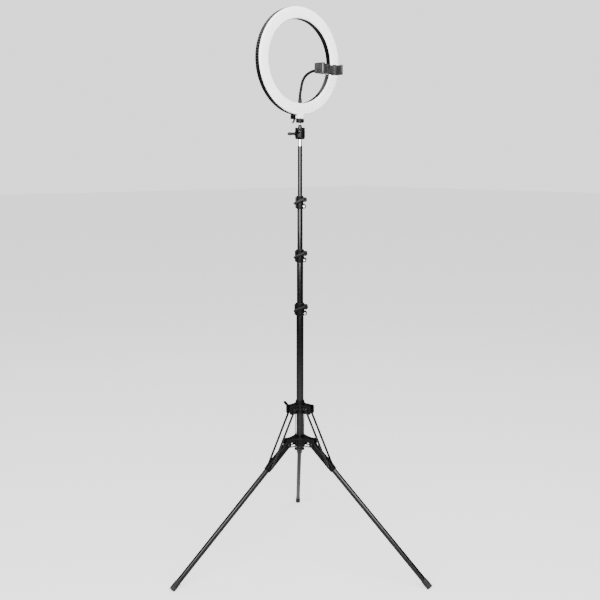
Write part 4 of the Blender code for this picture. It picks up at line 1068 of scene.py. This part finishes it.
def make_holder():
    """The phone holder: ball nut, body with its fixed jaw, sliding jaw, and a ribbed pad on each jaw."""
    ball = joint_spot("holder_tilt")
    way = ball - Vector((AXIS_X, AXIS_Y, 0))
    forward = math.hypot(way.x, way.y)
    seat = Matrix.Translation(ball) @ turn(z=ARM_AZIMUTH)
    back = -0.0040
    front = HOLDER_BACK - GAP - forward
    outer = 0.0085
    cup = HOLDER_BALL_R + 0.0004
    outline = [(0, front), (outer - 0.0010, front), (outer, front - 0.0010), (outer, back + 0.0030)]
    profile = eased([*outline, (outer - 0.0018, back), (0, back)], 0.0006)
    flank = [radius > outer - 0.0003 and back + 0.0032 < height < front - 0.0012 for radius, height in profile]
    lobe_count = 16
    lobe_depth = 0.0005
    steps = 192

    def lobes(step, i):
        wave = math.cos(2 * math.pi * lobe_count * step / steps)
        return -lobe_depth * (0.5 - 0.5 * wave) if flank[i] else 0

    nut = lathe(profile, steps, wobble=lobes)
    mouth = math.degrees(math.asin(0.0026 / cup))
    cavity = [(0, cup), *arc(0, 0, cup, 75, -mouth, 20), (0.0070, back - 0.002), (0, back - 0.002)]
    nut = combined(nut, cuts=[lathe(cavity, 64)])
    show("holder_lock_nut", placed(nut, seat, turn(0, 90, 0)), "black_plastic", "holder_socket", "holder_nut")

    roll = seat @ move(HOLDER_BACK - forward)
    half = HOLDER_HEIGHT / 2
    jaw = GRIP_HALF + PAD_THICKNESS + GAP
    body, depth = HOLDER_BODY, HOLDER_DEPTH
    body_end = 0.0100
    lip = 0.0045

    def jaw_outline(side, root):
        """Seen from above: the body behind the phone, the jaw with its round back corner, and the lip."""
        end = jaw + JAW_THICKNESS
        bend = 0.005
        outline = [(0, side * root), (0, side * (end - bend))]
        outline += arc(bend, side * (end - bend), bend, 180, 180 - side * 90, 10)
        outline += [(depth - 0.002, side * end), (depth, side * (end - 0.002)), (depth, side * (jaw - lip))]
        outline += [(depth - 0.0035, side * (jaw - lip)), (depth - 0.0045, side * jaw), (body, side * jaw)]
        outline += [(body, side * root)]
        return outline if side < 0 else outline[::-1]

    slot = block((0.0040, -0.0300, -half + 0.0040), (0.0120, body_end + 0.002, half - 0.0040), 0)
    fixed = plate([eased(jaw_outline(-1, -body_end), 0.0008, closed=True, steps=3)], HOLDER_HEIGHT, 0.0012)
    windows = [
        block((body - 0.0006, -0.0320, height - 0.0028), (body + 0.0010, -0.0040, height + 0.0028), 0.0003)
        for height in (-0.0085, 0, 0.0085)
    ]
    fixed = combined(fixed, cuts=[slot, *windows])
    show("holder_body", placed(fixed, roll), "grey_plastic", "holder", "holder_frame")

    sliding = plate([eased(jaw_outline(1, jaw - 0.012), 0.0008, closed=True, steps=3)], HOLDER_HEIGHT, 0.0012)
    slider = block((0.0045, -0.0080, -half + 0.0045), (0.0115, jaw - 0.009, half - 0.0045), 0.0006)
    show("holder_spring_jaw", placed(combined(sliding, [slider]), roll), "grey_plastic", "jaw", "sliding_jaw")

    for side, word, rider in ((-1, "fixed", "holder"), (1, "sliding", "jaw")):
        face, root = side * GRIP_HALF, side * (jaw - GAP)
        low = (body + 0.0008, min(face, root), -half + 0.002)
        high = (depth - 0.0052, max(face, root), half - 0.002)
        grooves = []
        for i in range(8):
            height = -half + 0.0044 + i * 0.0029
            grooves.append(block(
                (low[0] - 0.001, face - 0.0005, height - 0.0005),
                (high[0] + 0.001, face + 0.0005, height + 0.0005), 0.0001,
            ))
        pad = combined(block(low, high, 0.0005), cuts=grooves)
        show(f"holder_{word}_grip_pad", placed(pad, roll), "rubber", rider, f"pad_{word}")


# Floor, light and camera

ROOM_LIGHT = 0.10
BACKDROP_LIGHT = 1.7
WHITE = (1, 1, 1, 1)
FLOOR_COLOUR = (0.40, 0.40, 0.40)
FLOOR_GLOW = 1.45
LIGHT_HEIGHT = 1.2
SOFT_BOXES = (
    ("key_softbox", (-2.15, -1.65, 1.80), 4.2, 1.8, 360),
    ("front_overhead", (0.2, -2.1, 3.4), 2.5, 2.5, 240),
    ("rear_overhead", (-0.8, 2.4, 3.2), 2.5, 1.6, 60),
)
CAMERA_SPOT = (-1.567, -1.850, 1.218)
CAMERA_TILT = (90 - 9.21, 0, -41)


def make_stage():
    """A plain floor, mid grey to the object's own mirrors and paler straight from the camera."""
    shape = bmesh.new()
    bmesh.ops.create_grid(shape, x_segments=1, y_segments=1, size=30)
    floor = added("floor", finished(shape))
    material = new_material("pale_floor", FLOOR_COLOUR, 0.6, Emission_Color=WHITE)
    vary_roughness(material, noise(material, 3), 0.55, 0.65)
    seen = add_node(material, "ShaderNodeLightPath").outputs["Is Camera Ray"]
    glow = add_node(material, "ShaderNodeMath")
    glow.operation = "MULTIPLY"
    glow.inputs[1].default_value = FLOOR_GLOW
    material.node_tree.links.new(seen, glow.inputs[0])
    feed(material, glow.outputs[0], "Emission Strength")
    floor.data.materials.append(material)
    floor.location.z = -0.0005


def soft_box(name, spot, width, height, power):
    """A rectangular light that faces the middle of the ring light's mast."""
    light = bpy.data.lights.new(name, "AREA")
    light.shape = "RECTANGLE"
    light.size, light.size_y = width, height
    light.energy = power
    lamp = added(name, light)
    lamp.location = spot
    way = Vector((AXIS_X, AXIS_Y, LIGHT_HEIGHT)) - Vector(spot)
    lamp.rotation_euler = way.to_track_quat("-Z", "Y").to_euler()


def make_light():
    """Soft boxes round the object, in a room that is dim but for what the camera sees straight behind it."""
    world = bpy.data.worlds.new("studio")
    world.use_nodes = True
    nodes, links = world.node_tree.nodes, world.node_tree.links
    room = nodes["Background"]
    backdrop = nodes.new("ShaderNodeBackground")
    for background, strength in ((room, ROOM_LIGHT), (backdrop, BACKDROP_LIGHT)):
        background.inputs["Strength"].default_value = strength
        background.inputs["Color"].default_value = WHITE
    pick = nodes.new("ShaderNodeMixShader")
    links.new(nodes.new("ShaderNodeLightPath").outputs["Is Camera Ray"], pick.inputs[0])
    links.new(room.outputs[0], pick.inputs[1])
    links.new(backdrop.outputs[0], pick.inputs[2])
    links.new(pick.outputs[0], nodes["World Output"].inputs[0])
    bpy.context.scene.world = world
    for box in SOFT_BOXES:
        soft_box(*box)


def make_camera():
    """The photograph's angle: the whole ring light from its left front, tilted down from high on its mast."""
    camera = bpy.data.cameras.new("camera")
    camera.lens = 51.0
    camera.sensor_width = 36.0
    viewer = added("camera", camera)
    viewer.location = CAMERA_SPOT
    viewer.rotation_euler = [math.radians(angle) for angle in CAMERA_TILT]
    bpy.context.scene.camera = viewer


make_camera()
make_light()
make_stage()
make_tubes()
make_end_plug()
for clamp in (1, 2, 3):
    make_clamp(clamp)
make_folding_stand()
make_stud()
make_ball_head()
make_ball()
make_lamp()
make_mount()
make_arm()
make_holder()
